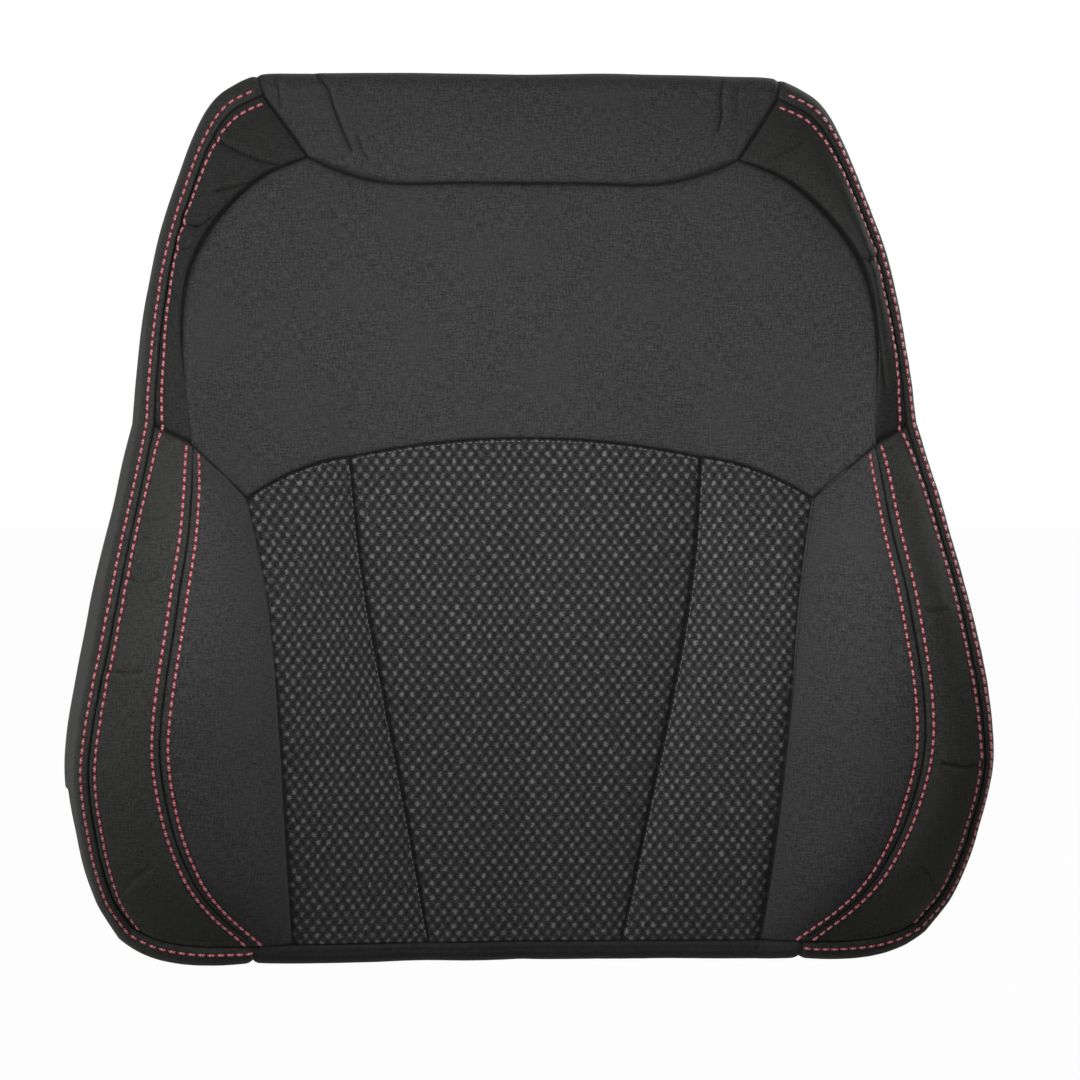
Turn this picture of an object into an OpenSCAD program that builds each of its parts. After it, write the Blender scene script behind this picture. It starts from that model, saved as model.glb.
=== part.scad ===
// Backrest of a sport seat.
// A sewn cloth cover lies on a moulded foam pad. The pad wraps a steel frame,
// a moulded panel closes the rear, and two round recliners carry the frame.
// Millimetres. +Z is up and the occupant leans on the -Y side. The origin is
// the bottom centre of the backrest.

/* [Outline] */
// Greatest width, across the lower bolsters
back_w = 550; // [540:2:590]
// Height of the whole backrest
back_h = 534; // [520:2:580]
// Width of the straight bottom edge
base_w = 412; // [400:2:424]
// Width at the waist, where the bolsters meet the shoulders
waist_w = 460; // [454:2:480]
// Distance of each shoulder inside the waist
shoulder_inset = 24; // [17:1:27]
// Width of the straight top edge
top_w = 312; // [300:2:320]
// Height of the widest point
widest_z = 125; // [110:1:145]
// Height of the waist
waist_z = 322; // [312:1:332]
// Distance of the shoulders below the top edge
shoulder_drop = 66; // [60:1:74]

/* [Panels] */
// Thickness of the laminated cover cloth
cover_t = 5; // [4:0.5:6]
// Width of the centre mesh panel at its top
centre_top_w = 211; // [190:1:230]
// Width of the centre mesh panel at its foot
centre_foot_w = 116; // [100:1:150]
// Width of the whole mesh field at its top corners
mesh_top_w = 338; // [320:1:350]
// Width of the whole mesh field at its foot
mesh_foot_w = 280; // [260:1:300]
// Height of the mesh field's top corners
mesh_corner_z = 279; // [270:1:290]
// Height of the mesh field at the top of its arch
arch_z = 314; // [306:1:322]
// Distance of each bolster crest inside the greatest width
crest_inset = 48; // [43:1:55]
// Distance between the crests at the bottom edge
crest_foot_w = 330; // [316:1:344]
// Distance of the shoulder yoke's sides inside the waist
yoke_inset = 22; // [20:1:26]
// Width of the yoke where it meets the top panel
yoke_top_w = 260; // [244:1:272]
// Distance of the seam between yoke and top panel below the top edge
collar_drop = 67; // [60:1:74]

/* [Depths] */
// How far the bolster crests stand in front of the centre
bolster_rise = 80; // [60:1:90]
// How far the lumbar area stands in front of the shoulders
lumbar = 16; // [8:1:22]
// Distance of the rear edge of the cover behind the origin
rear_y = 84; // [80:1:90]
// Depth of the pocket behind the pad's centre, from the rear edge
bay_depth = 38; // [36:0.5:42]
// Width of the pad's rim around the frame
rim_w = 32; // [28:1:33]

/* [Rear panel] */
// Wall of the rear panel
shell_t = 3; // [2:0.5:4]
// How far the rear panel swells to the rear
shell_dome = 7; // [5:0.5:9]
// Depth of the knee recess
knee_recess = 5; // [2:0.5:6]

/* [Frame] */
// Distance of each side member inside the waist
frame_inset = 38; // [37:0.5:42]
// Sheet thickness of the stampings
sheet_t = 2; // [1.5:0.1:2.5]
// Flange width of the side members
flange = 15; // [12:1:16]
// Distance of the side members' top below the top edge
member_drop = 154; // [150:1:174]
// Outside diameter of the hoop tube
tube_d = 25; // [22:0.5:26]
// Wall of the hoop tube
tube_wall = 2; // [1.5:0.1:3]
// Bend radius of the hoop
hoop_bend = 60; // [50:1:70]
// Distance of the hoop's top run below the top edge
hoop_drop = 84; // [82:1:94]
// Depth of the hoop's centre line
hoop_y = 38; // [37:0.5:39]
// Diameter of the hanger rod for the suspension mat
rod_d = 8; // [6:0.5:9]
// Distance of the hanger rod below the top edge
rod_drop = 142; // [136:1:146]
// Height of the lower cross member's foot
cross_z = 84; // [82:1:90]
// Height of the lower cross member's section
cross_h = 38; // [30:1:40]

/* [Headrest guides] */
// Distance between the two guides
guide_pitch = 140; // [120:1:160]
// Bore for the headrest rod
guide_bore = 12.2; // [10:0.1:13]
// Bore of the steel socket
socket_bore = 18; // [17:0.1:19]
// Outside diameter of the steel socket
socket_d = 22; // [21:0.1:23]
// Length of the steel socket
socket_l = 82; // [70:1:84]
// Travel of the lock button
button_travel = 3.5; // [2:0.1:3.5]

/* [Recliner] */
// Height of the recline axis
pivot_z = 62; // [60:1:64]
// Depth of the recline axis
pivot_y = 54; // [53:0.5:56]
// Diameter of the recliner's two plates
recliner_d = 66; // [60:1:68]
// Thickness of each recliner plate
plate_t = 6; // [5:0.5:7]
// Diameter of the release shaft
shaft_d = 12; // [10:0.5:14]
// Pitch circle of the base bolts
bolt_circle = 48; // [44:1:50]
// Hole for a base bolt
bolt_hole = 6.8; // [6:0.1:8.4]

/* [Suspension mat] */
// Distance between the mat's side wires
mat_w = 240; // [200:2:260]
// Diameter of the side wires
mat_wire_d = 4; // [3:0.5:4]
// Number of cross wires
cross_wires = 8; // [5:1:10]

/* [Hidden] */
$fn = 64;

seam_in = 8;       // outer seam to the silhouette, at the sides
roll_top = 14;     // the same at the top edge
roll_foot = 12;    // the same at the bottom edge
roll_depth = 16;   // depth of the rounded front edge
pad_gap = 1.08;    // level of the pad under the cover, in cover thicknesses
seat_gap = 0.2;    // gap left where one part is welded or pressed to another
seam_z = back_h - roll_top;
shoulder_z = back_h - shoulder_drop;
shoulder_w = waist_w - 2 * shoulder_inset;
crest_w = back_w - 2 * crest_inset;
yoke_w = waist_w - 2 * yoke_inset;
collar_z = back_h - collar_drop;
frame_w = waist_w - 2 * frame_inset;   // outside distance between the side members
member_top_z = back_h - member_drop;
hoop_z = back_h - hoop_drop;
leg_x = frame_w / 2 - sheet_t - seat_gap - tube_d / 2;   // hoop leg's centre line
rod_z = back_h - rod_drop;
notch = [frame_w / 2 - 8, 4, 104]; // inboard face, front face and roof of the recliner pocket

// Curves -----------------------------------------------------------------

function lerp(a, b, t) = a + (b - a) * t;
function arch(u) = 4 * u * (1 - u);
function step_at(t, tab, i = 0) =
  i >= len(tab) - 2 || t < tab[i + 1][0] ? i : step_at(t, tab, i + 1);
function slope_at(tab, i) =
  let (a = tab[max(i - 1, 0)], b = tab[min(i + 1, len(tab) - 1)])
  (b[1] - a[1]) / (b[0] - a[0]);
// Smooth curve through the [t, value] pairs of a table.
function through(t, tab) =
  let (
    i = step_at(t, tab), a = tab[i], b = tab[i + 1], h = b[0] - a[0],
    u = max(0, min(1, (t - a[0]) / h)), m = slope_at(tab, i) * h, n = slope_at(tab, i + 1) * h
  )
  (2 * u ^ 3 - 3 * u ^ 2 + 1) * a[1] + (u ^ 3 - 2 * u ^ 2 + u) * m
  + (3 * u ^ 2 - 2 * u ^ 3) * b[1] + (u ^ 3 - u ^ 2) * n;
// 0 below a, 1 above b, and smooth between.
function ease(a, b, t) = let (u = max(0, min(1, (t - a) / (b - a)))) u * u * (3 - 2 * u);

// Forward depth of the cover on the centre line, against height.
lumbar_curve = [
  [0, 0], [0.11, 0.5], [0.32, 1], [0.47, 0.62], [0.59, 0.25], [0.73, 0], [0.87, -0.3], [1, -0.8]
];
function centre_depth(z) = lumbar * through(z / back_h, lumbar_curve);

// Half widths and rises of the seams that run up the lower band. Each table goes
// by the share of the seam's own height. A flat node is [x, z, rise].
waist_x = waist_w / 2 - seam_in / 2;
widest_x = back_w / 2 - seam_in;
shoulder_x = shoulder_w / 2 - seam_in;
crest_top_w = crest_w - 47;
crest_top_z = waist_z - 11;

centre_seam = [[0, 0], [0.33, 0.38], [0.52, 0.61], [0.78, 0.88], [1, 1]];
mesh_edge = [[0, 0], [0.2, 0.17], [0.45, 0.35], [0.76, 0.62], [1, 1]];
crest_seam = [
  [0, crest_foot_w], [0.07, lerp(crest_foot_w, crest_w, 0.48)],
  [0.14, lerp(crest_foot_w, crest_w, 0.66)], [0.26, lerp(crest_foot_w, crest_w, 0.89)],
  [0.42, crest_w], [0.68, lerp(crest_top_w, crest_w, 0.57)],
  [0.83, lerp(crest_top_w, crest_w, 0.23)], [1, crest_top_w]
];
outer_seam_low = [
  [roll_foot + 12, base_w / 2 + 31], [lerp(0, widest_z, 0.34), lerp(base_w / 2, widest_x, 0.72)],
  [lerp(0, widest_z, 0.62), lerp(base_w / 2, widest_x, 0.9)], [widest_z, widest_x],
  [lerp(widest_z, waist_z, 0.42), lerp(widest_x, waist_x, 0.35)],
  [lerp(widest_z, waist_z, 0.77), lerp(widest_x, waist_x, 0.74)], [waist_z, waist_x]
];
outer_seam_high = [
  [waist_z, waist_x], [lerp(waist_z, shoulder_z, 0.2), lerp(waist_x, shoulder_x, 0.08)],
  [lerp(waist_z, shoulder_z, 0.48), lerp(waist_x, shoulder_x, 0.27)],
  [lerp(waist_z, shoulder_z, 0.76), lerp(waist_x, shoulder_x, 0.58)],
  [shoulder_z, shoulder_x],
  [lerp(shoulder_z, seam_z, 0.47), lerp(shoulder_x, top_w / 2, 0.25)],
  [lerp(shoulder_z, seam_z, 0.8), lerp(shoulder_x, top_w / 2, 0.55)], [seam_z, top_w / 2]
];
collar_corner = [yoke_top_w / 2, collar_z + 15.5];
yoke_edge = [
  [0, crest_top_w / 2], [0.34, yoke_w / 2], [0.55, yoke_w / 2 - 4], [0.69, yoke_w / 2 - 12],
  [0.83, yoke_w / 2 - 28], [0.94, yoke_w / 2 - 50], [1, yoke_top_w / 2]
];
mesh_rise = [[0, 0.15], [0.3, 0.35], [0.68, 0.43], [1, 0.3]];
crest_rise = [[0, 0.3], [0.16, 0.65], [0.4, 0.93], [0.68, 1], [0.9, 0.78], [1, 0.6]];
wing_rise = [[0, 0.2], [0.16, 0.5], [0.35, 0.72], [0.64, 0.78], [0.84, 0.62], [1, 0.45]];
shoulder_rise = [[0, 0.45], [0.35, 0.27], [0.55, 0.17], [0.74, 0.09], [0.86, 0.04], [1, 0]];
yoke_rise = [[0, 0.6], [0.2, 0.5], [0.4, 0.4], [0.6, 0.3], [0.78, 0.2], [0.9, 0.14], [1, 0.075]];

low_rows = 12;                 // steps up the lower band
foot_bias = 1.25;              // how much closer those steps are near the foot
high_rows = 7;                 // steps up the shoulders
top_rows = 3;                  // steps up the top panel's front
cols = [0, 4, 7, 11, 14];      // seams of the lower band, as columns
yoke_col = cols[3];
edge_col = cols[4];

function low_share(i) = (i / low_rows) ^ foot_bias;
// Flat nodes on the five seams of the lower band, at row i.
function seam_node(s, i) =
  let (v = low_share(i))
  s == 0 ? [0, lerp(roll_foot, arch_z, v), 0]
  : s == 1
    ? [lerp(centre_foot_w, centre_top_w, through(v, centre_seam)) / 2,
       lerp(roll_foot, arch_z - 11, v), 0.05 * bolster_rise]
  : s == 2
    ? [lerp(mesh_foot_w, mesh_top_w, through(v, mesh_edge)) / 2,
       lerp(roll_foot, mesh_corner_z, v), through(v, mesh_rise) * bolster_rise]
  : s == 3
    ? [through(v, crest_seam) / 2, lerp(roll_foot, crest_top_z, v),
       through(v, crest_rise) * bolster_rise]
  : let (z = lerp(roll_foot + 12, waist_z, v))
    [through(z, outer_seam_low), z, through(v, wing_rise) * bolster_rise];

bulges = [3, 4.5, 0, 0];     // how far the arch seam rises between two seams
crowns = [2, 3, 12, 5];      // how far each panel swells between its seams
foot_round = [3.5, 14.5];    // how far the foot of the wing rounds out and down
// Row i of the lower band, from the centre line to the outer seam.
function low_row(i) =
  let (v = low_share(i), foot = (1 - v) ^ 8)
  [
    for (j = [0:edge_col])
      let (
        s = j == edge_col ? 3 : len([for (c = cols) if (c <= j) c]) - 1,
        u = (j - cols[s]) / (cols[s + 1] - cols[s]),
        a = seam_node(s, i), b = seam_node(s + 1, i), n = lerp(a, b, u)
      )
      [n[0] + (s == 3 ? foot_round[0] * arch(u) * foot : 0),
       n[1] + bulges[s] * arch(u) * v * v - (s == 3 ? foot_round[1] * u * (1 - u * u) * foot : 0),
       n[2] + crowns[s] * arch(u) * (1 - (2 * v - 1) ^ 6)]
  ];

function rise_share(i, rows) = sin(90 * i / rows);
function yoke_node(i) =
  let (v = rise_share(i, high_rows))
  [through(v, yoke_edge), lerp(crest_top_z, collar_corner[1], v),
   through(v, yoke_rise) * bolster_rise];
function shoulder_node(i) =
  let (v = rise_share(i, high_rows), z = lerp(waist_z, seam_z, v))
  [through(z, outer_seam_high), z, through(v, shoulder_rise) * bolster_rise];
function collar_node(j) =
  let (x = collar_corner[0] * j / yoke_col, u = max(0, (x - 0.54 * collar_corner[0]) / (0.46 * collar_corner[0])))
  [x, collar_z + (collar_corner[1] - collar_z) * u * u, 0.075 * bolster_rise * u];
// Surface patch between four boundary rows of flat nodes.
function coons(foot, top, left, right, u, v) =
  lerp(foot[round(u * (len(foot) - 1))], top[round(u * (len(top) - 1))], v)
  + lerp(left[round(v * (len(left) - 1))], right[round(v * (len(right) - 1))], u)
  - lerp(lerp(foot[0], foot[len(foot) - 1], u), lerp(top[0], top[len(top) - 1], u), v);

low_band = [for (i = [0:low_rows]) low_row(i)];
yoke_foot = [for (j = [0:yoke_col]) low_band[low_rows][j]];
collar = [for (j = [0:yoke_col]) collar_node(j)];
yoke_side = [
  for (i = [0:high_rows]) i == 0 ? yoke_foot[yoke_col] : i == high_rows ? collar[yoke_col] : yoke_node(i)
];
outer_side = [for (i = [0:high_rows]) i == 0 ? low_band[low_rows][edge_col] : shoulder_node(i)];
centre_line = [
  for (i = [0:high_rows]) let (v = rise_share(i, high_rows)) [0, lerp(yoke_foot[0][1], collar_z, v), 0]
];
// Row i of the shoulder band, from the centre line to the outer seam.
function high_row(i) =
  let (v = i / high_rows)
  concat(
    [
      for (j = [0:yoke_col])
        i == 0 ? yoke_foot[j]
        : j == yoke_col ? yoke_side[i]
        : i == high_rows ? collar[j]
        : coons(yoke_foot, collar, centre_line, yoke_side, j / yoke_col, v)
          + [0, 0, 5 * arch(j / yoke_col) * sin(180 * v)]
    ],
    [
      for (k = [1:edge_col - yoke_col])
        let (u = k / (edge_col - yoke_col), n = lerp(yoke_side[i], outer_side[i], u))
        i == 0 ? low_band[low_rows][yoke_col + k]
        : k == edge_col - yoke_col ? outer_side[i]
        : [n[0], n[1], n[2] + 4 * arch(u) * sin(180 * v)]
    ]
  );
high_band = [for (i = [0:high_rows]) high_row(i)];
top_corner = high_band[high_rows][edge_col];
// Row i of the top panel's front, from the centre line to its side seam.
function top_row(i) =
  let (v = i / top_rows, side = high_band[high_rows][yoke_col + i])
  [
    for (j = [0:yoke_col])
      let (u = j / yoke_col, n = lerp(collar[j], [top_corner[0] * u, seam_z, 0], v))
      i == 0 ? collar[j] : j == yoke_col ? side
      : i == top_rows ? [top_corner[0] * u, seam_z, 0]
      : [lerp(n[0], side[0] * u, u ^ 4), lerp(n[1], side[1], u ^ 4), n[2] + 3 * arch(v) * (1 - u ^ 2)]
  ];
top_band = [for (i = [0:top_rows]) top_row(i)];

// Both halves of a row, from left to right.
function flip_node(n) = [-n[0], n[1], n[2]];
function both(row) =
  concat([for (j = [len(row) - 1:-1:1]) flip_node(row[j])], row);
function part_of(band, from, to) = [for (row = band) [for (j = [from:to]) row[j]]];
function wide(band) = [for (row = band) both(row)];
// Columns of one half, with the left half's taken from the whole rows.
function half_of(band, from, to, side) =
  side > 0 ? part_of(band, from, to) : part_of(wide(band), edge_col - to, edge_col - from);

// Point of the cover over a flat node. Level 0 is its face, 1 is its back.
function cover_point(n, level) =
  [n[0], -(centre_depth(n[1]) + n[2]) + level * cover_t, n[1]];
function laid(band, level) = [for (row = band) [for (n = row) cover_point(n, level)]];

// Edge of the cover ------------------------------------------------------

// The outer seam, anticlockwise from the bottom centre, as flat nodes.
half_ring = concat(
  low_band[0], [for (i = [1:low_rows]) low_band[i][edge_col]],
  [for (i = [1:high_rows]) high_band[i][edge_col]],
  [for (j = [yoke_col - 1:-1:0]) top_band[top_rows][j]]
);
half_len = len(half_ring) - 1;
ring = concat(half_ring, [for (i = [half_len - 1:-1:1]) flip_node(half_ring[i])]);
ring_len = len(ring);
corner_at = edge_col + low_rows + high_rows;   // ring place of the top panel's corner
function ring_node(i) = ring[(i + ring_len) % ring_len];
function ring_out(i) =
  let (a = ring_node(i - 1), b = ring_node(i + 1), d = [b[1] - a[1], a[0] - b[0]])
  d / norm(d);
function ring_inset(i) =
  let (n = ring_out(i))
  seam_in * n[0] ^ 2 + (n[1] > 0 ? roll_top : roll_foot) * n[1] ^ 2;

// Sections of the edge, from the outer seam round to the rear: shares of the
// inset and of the cover's thickness, both across and in depth.
edge_inset = [1, 0.5, 0.13, 0, 0.15, 0.5, 1];
edge_in = [0, 0.5, 0.87, 1, 1, 1, 1];
edge_back = [1, 0.87, 0.5, 0, 0, 0, 0];
edge_steps = len(edge_inset) - 1;
function edge_y(k, front) =
  [front, front + 0.134 * roll_depth, front + 0.5 * roll_depth, front + roll_depth,
   (front + rear_y) / 2 + 4, rear_y - 10, rear_y][k];
function edge_point(i, k, level) =
  let (
    n = ring_node(i), face = cover_point(n, 0), out = ring_out(i), e = ring_inset(i),
    shift = e - e * edge_inset[k] - level * cover_t * edge_in[k]
  )
  k == 0 ? cover_point(n, level)
  : [n[0] + out[0] * shift, edge_y(k, face[1]) + level * cover_t * edge_back[k],
     n[1] + out[1] * shift];
function edge_band(from, to, level) =
  [for (k = [0:edge_steps]) [for (i = [from:to]) edge_point(i, k, level)]];

// Solids from grids ------------------------------------------------------

function flat(list) = [for (a = list) for (b = a) b];
// Triangles of a grid of rows x columns, clockwise as seen with its columns to
// the right and its rows going up.
function grid_faces(rows, columns, start = 0, turned = false) =
  [
    for (i = [0:rows - 2]) for (j = [0:columns - 2])
      let (
        a = start + i * columns + j, b = a + 1, d = a + columns, c = d + 1
      )
      each turned ? [[a, b, c], [a, c, d]] : [[a, d, c], [a, c, b]]
  ];
// Closed sheet between a face grid and a back grid of the same size.
module sheet_solid(face, back, turned = false) {
  rows = len(face);
  columns = len(face[0]);
  count = rows * columns;
  rim = concat(
    [for (j = [0:columns - 2]) [j, j + 1]],
    [for (i = [0:rows - 2]) [(i + 1) * columns - 1, (i + 2) * columns - 1]],
    [for (j = [columns - 1:-1:1]) [(rows - 1) * columns + j, (rows - 1) * columns + j - 1]],
    [for (i = [rows - 1:-1:1]) [i * columns, (i - 1) * columns]]
  );
  polyhedron(
    points = concat(flat(face), flat(back)),
    faces = concat(
      grid_faces(rows, columns, 0, turned),
      grid_faces(rows, columns, count, !turned),
      [
        for (e = rim)
          each turned
            ? [[e[1], e[0], e[0] + count], [e[1], e[0] + count, e[1] + count]]
            : [[e[0], e[1], e[1] + count], [e[0], e[1] + count, e[0] + count]]
      ]
    ),
    convexity = 8
  );
}
// Closed solid whose surface is a list of [grid, turned] pairs. A lid closes the
// last row of the last grid around one point.
module closed_solid(parts, lid = []) {
  sizes = [for (p = parts) len(p[0]) * len(p[0][0])];
  starts = [for (i = 0, s = 0; i < len(parts); s = s + sizes[i], i = i + 1) s];
  last = len(parts) - 1;
  lid_at = starts[last] + sizes[last];
  lid_row = len(parts[last][0][0]);
  polyhedron(
    points = concat([for (p = parts) each flat(p[0])], lid),
    faces = concat(
      [
        for (i = [0:len(parts) - 1])
          each grid_faces(len(parts[i][0]), len(parts[i][0][0]), starts[i], parts[i][1])
      ],
      len(lid) > 0 ? [for (i = [1:lid_row - 1]) [lid_at, lid_at - i - 1, lid_at - i]] : []
    ),
    convexity = 10
  );
}
module cover_panel(band) {
  sheet_solid(laid(band, 0), laid(band, 1));
}
module left_of() {
  mirror([1, 0, 0]) children();
}
// Extrudes a shape drawn in (y, z) along X.
module across(x, length) {
  translate([x, 0, 0]) rotate([90, 0, 90]) linear_extrude(length) children();
}
// Room left in the pad and the cover for the recliner and its bracket.
module recliner_pocket(margin = 0) {
  radius = 20;
  past = rear_y + shell_dome + 20;
  for (side = [0, 1])
    mirror([side, 0, 0])
      across(notch[0] - margin, back_w / 2) difference() {
        translate([notch[1] - margin, -20]) square([past, notch[2] + 20 + margin]);
        translate([notch[1] - margin, notch[2] + margin - radius])
          difference() {
            square(radius);
            translate([radius, 0]) circle(radius);
          }
      }
}

// Sewn cover -------------------------------------------------------------

module mesh_centre_panel() {
  color([0.17, 0.17, 0.17]) cover_panel(part_of(wide(low_band), edge_col - cols[1], edge_col + cols[1]));
}
module mesh_side_panel(side) {
  color([0.15, 0.15, 0.15]) cover_panel(half_of(low_band, cols[1], cols[2], side));
}
module bolster_panel(side) {
  color([0.23, 0.23, 0.22]) cover_panel(half_of(low_band, cols[2], cols[3], side));
}
module bolster_wing(side) {
  color([0.21, 0.21, 0.2]) cover_panel(half_of(low_band, cols[3], cols[4], side));
}
module shoulder_yoke() {
  color([0.24, 0.24, 0.24])
    cover_panel(part_of(wide(high_band), edge_col - yoke_col, edge_col + yoke_col));
}
module shoulder_wing(side) {
  color([0.2, 0.2, 0.19]) cover_panel(half_of(high_band, yoke_col, edge_col, side));
}
function top_grid(level) =
  concat(
    laid(wide(top_band), level),
    [
      for (k = [1:edge_steps])
        [for (i = [2 * half_len - corner_at:-1:corner_at]) edge_point(i, k, level)]
    ]
  );
module top_panel() {
  color([0.22, 0.22, 0.22]) difference() {
    sheet_solid(top_grid(0), top_grid(1));
    guide_openings();
  }
}
module side_gusset() {
  color([0.18, 0.18, 0.17]) difference() {
    sheet_solid(edge_band(yoke_col, corner_at, 0), edge_band(yoke_col, corner_at, 1), true);
    recliner_pocket();
  }
}
module bottom_flap() {
  color([0.16, 0.16, 0.16])
    sheet_solid(edge_band(-yoke_col, yoke_col, 0), edge_band(-yoke_col, yoke_col, 1), true);
}

// Foam pad ---------------------------------------------------------------

pad_middle = (roll_foot + seam_z) / 2;
pad_scale = [1 - 0.85 * rim_w / waist_x, 1 - 0.92 * rim_w / (seam_z - pad_middle)];
block_slope = 0.04;                     // how far the block's sides lean in, as a share
block_gap = 3;                          // from the block to the flanges and the hoop
pad_block = min(
  (frame_w / 2 - flange - block_gap) / (widest_x * pad_scale[0]),
  (leg_x - tube_d / 2 - block_gap) / (waist_x * pad_scale[0]),
  (hoop_z - tube_d / 2 - block_gap - pad_middle) / ((seam_z - pad_middle) * pad_scale[1])
) - block_slope;                        // size of that block, as a share of the pad's back
bay_y = rear_y - bay_depth;             // back of that block
hoop_bay_y = hoop_y - tube_d / 2 - 3;   // back of the pad in front of the hoop
member_bay_y = 13;                      // back of the pad in front of a side member
pad_steps = [0, 2, 3, 6];               // sections of the edge that the pad follows
function channel_y(x) =
  lerp(hoop_bay_y, member_bay_y, ease(leg_x - tube_d - 12, leg_x - tube_d / 2 - 2.8, abs(x)));
function pad_loop(i, size, y = undef) =
  let (n = ring_node(i), x = n[0] * pad_scale[0] * size)
  [x, is_undef(y) ? channel_y(x) : y, pad_middle + (n[1] - pad_middle) * pad_scale[1] * size];
// Moulded pad. A channel round its back takes the side members and the hoop.
module foam_pad() {
  edge = edge_band(0, ring_len, pad_gap);
  color([0.78, 0.74, 0.62]) difference() {
    closed_solid(
      [
        [laid(wide(low_band), pad_gap), false],
        [laid(wide(high_band), pad_gap), false],
        [laid(wide(top_band), pad_gap), false],
        [[for (k = pad_steps) edge[k]], true],
        [
          [
            edge[edge_steps],
            [for (i = [0:ring_len]) pad_loop(i, 1)],
            [for (i = [0:ring_len]) pad_loop(i, pad_block + block_slope)],
            [for (i = [0:ring_len]) pad_loop(i, pad_block, bay_y)]
          ],
          true
        ]
      ],
      [[0, bay_y, pad_middle]]
    );
    recliner_pocket(1);
    guide_openings();
    for (side = [-1, 1])
      translate([side * guide_pitch / 2, socket_y, socket_z - 2]) cylinder(d = socket_d + 2, h = back_h);
  }
}

// Rear panel -------------------------------------------------------------

// Share of the swell at a row and a column of the whole grid.
function edge_share(k) = [0, 0.6, 0.92, 1][min(k, 3)];
function swell(i, j, last) =
  edge_share(edge_col - j) * (last ? [1, 1, 0.7, 0][i] : i < 3 ? edge_share(i) : 1);
function knee_share(i, j) =
  (j <= cols[1] ? 1 : j <= cols[1] + 2 ? 0.5 : 0) * (i < 3 || i > 13 ? 0 : i == 3 || i == 13 ? 0.5 : 1);
// Layer 0 is the rear face, 1 the inside face, and 2 the plane of the pad's rear edge.
function shell_point(n, i, j, layer, top = false) =
  let (
    rise = shell_dome * swell(i, j, top) - knee_recess * knee_share(top ? 20 : i, j),
    inside = rear_y + seat_gap
  )
  [n[0], layer == 2 ? inside : inside + rise + shell_t * (1 - layer), n[1]];
function shell_grid(band, row0, layer, top = false) =
  [
    for (i = [0:len(band) - 1])
      let (
        half = [
          for (j = [0:len(band[i]) - 1])
            let (side = top && j == yoke_col)
            side
              ? shell_point(band[i][j], low_rows + high_rows, yoke_col + i, layer)
              : shell_point(band[i][j], row0 + i, j, layer, top)
        ]
      )
      concat([for (j = [len(half) - 1:-1:1]) [-half[j][0], half[j][1], half[j][2]]], half)
  ];
function shell_rim(layer) =
  let (
    low = shell_grid(low_band, 0, layer), high = shell_grid(high_band, low_rows, layer),
    top = shell_grid(top_band, 0, layer, true),
    half = concat(
      [for (j = [edge_col:2 * edge_col]) low[0][j]],
      [for (i = [1:low_rows]) low[i][2 * edge_col]],
      [for (i = [1:high_rows]) high[i][2 * edge_col]],
      [for (j = [2 * yoke_col - 1:-1:yoke_col]) top[top_rows][j]]
    )
  )
  concat(half, [for (i = [half_len - 1:-1:0]) [-half[i][0], half[i][1], half[i][2]]]);
module shell_body(inside) {
  closed_solid([
    [shell_grid(low_band, 0, 0), true],
    [shell_grid(high_band, low_rows, 0), true],
    [shell_grid(top_band, 0, 0, true), true],
    [[shell_rim(0), shell_rim(inside)], false],
    [shell_grid(low_band, 0, inside), false],
    [shell_grid(high_band, low_rows, inside), false],
    [shell_grid(top_band, 0, inside, true), false]
  ]);
}
flange_z = cross_z + cross_h + 6;   // foot of the side members' flanges
clip_d = 8;
clip_head = [16, 3];
clip_heights = [flange_z + 22, member_top_z - 40];
clip_x = frame_w / 2 - flange / 2 - 1;
module clip_places() {
  for (side = [-1, 1], z = clip_heights) translate([side * clip_x, 0, z]) children();
}
shell_inside_y = rear_y + seat_gap + shell_dome;
module rear_panel() {
  boss_h = clip_head[1] + 2;
  color([0.12, 0.12, 0.12]) difference() {
    union() {
      shell_body(1);
      intersection() {
        shell_body(2);
        recliner_pocket(shell_t);
      }
      clip_places() translate([0, shell_inside_y - boss_h, 0]) rotate([-90, 0, 0])
        cylinder(d = clip_head[0] + 5, h = boss_h + 0.5);
    }
    recliner_pocket();
    clip_places() translate([0, shell_inside_y - boss_h - 1, 0]) rotate([-90, 0, 0])
      cylinder(d = clip_head[0] + 2 * seat_gap, h = boss_h + 1);
  }
}
// Fir-tree clip that holds the rear panel to a side member.
module clip(z) {
  flange_y = rear_flange_y(z);
  tip = flange_y - 8;
  seat = shell_inside_y - seat_gap;
  barbs = 2;
  translate([0, tip, 0]) rotate([-90, 0, 0]) {
    cylinder(d1 = 3, d2 = clip_d - 1, h = 2);
    translate([0, 0, 2]) cylinder(d = clip_d - 1, h = seat - tip - 2);
    for (k = [0:barbs - 1]) translate([0, 0, 2 + 2.5 * k]) cylinder(d1 = clip_d - 1, d2 = clip_d, h = 2.5);
  }
  translate([0, flange_y + 1, 0]) rotate([-90, 0, 0]) cylinder(d = clip_d + 5, h = 2);
  translate([0, seat - clip_head[1], 0]) rotate([-90, 0, 0]) cylinder(d = clip_head[0], h = clip_head[1]);
}
module rear_panel_clips() {
  color([0.85, 0.83, 0.76])
    for (side = [-1, 1], z = clip_heights) translate([side * clip_x, 0, z]) clip(z);
}

// Frame ------------------------------------------------------------------

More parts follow.
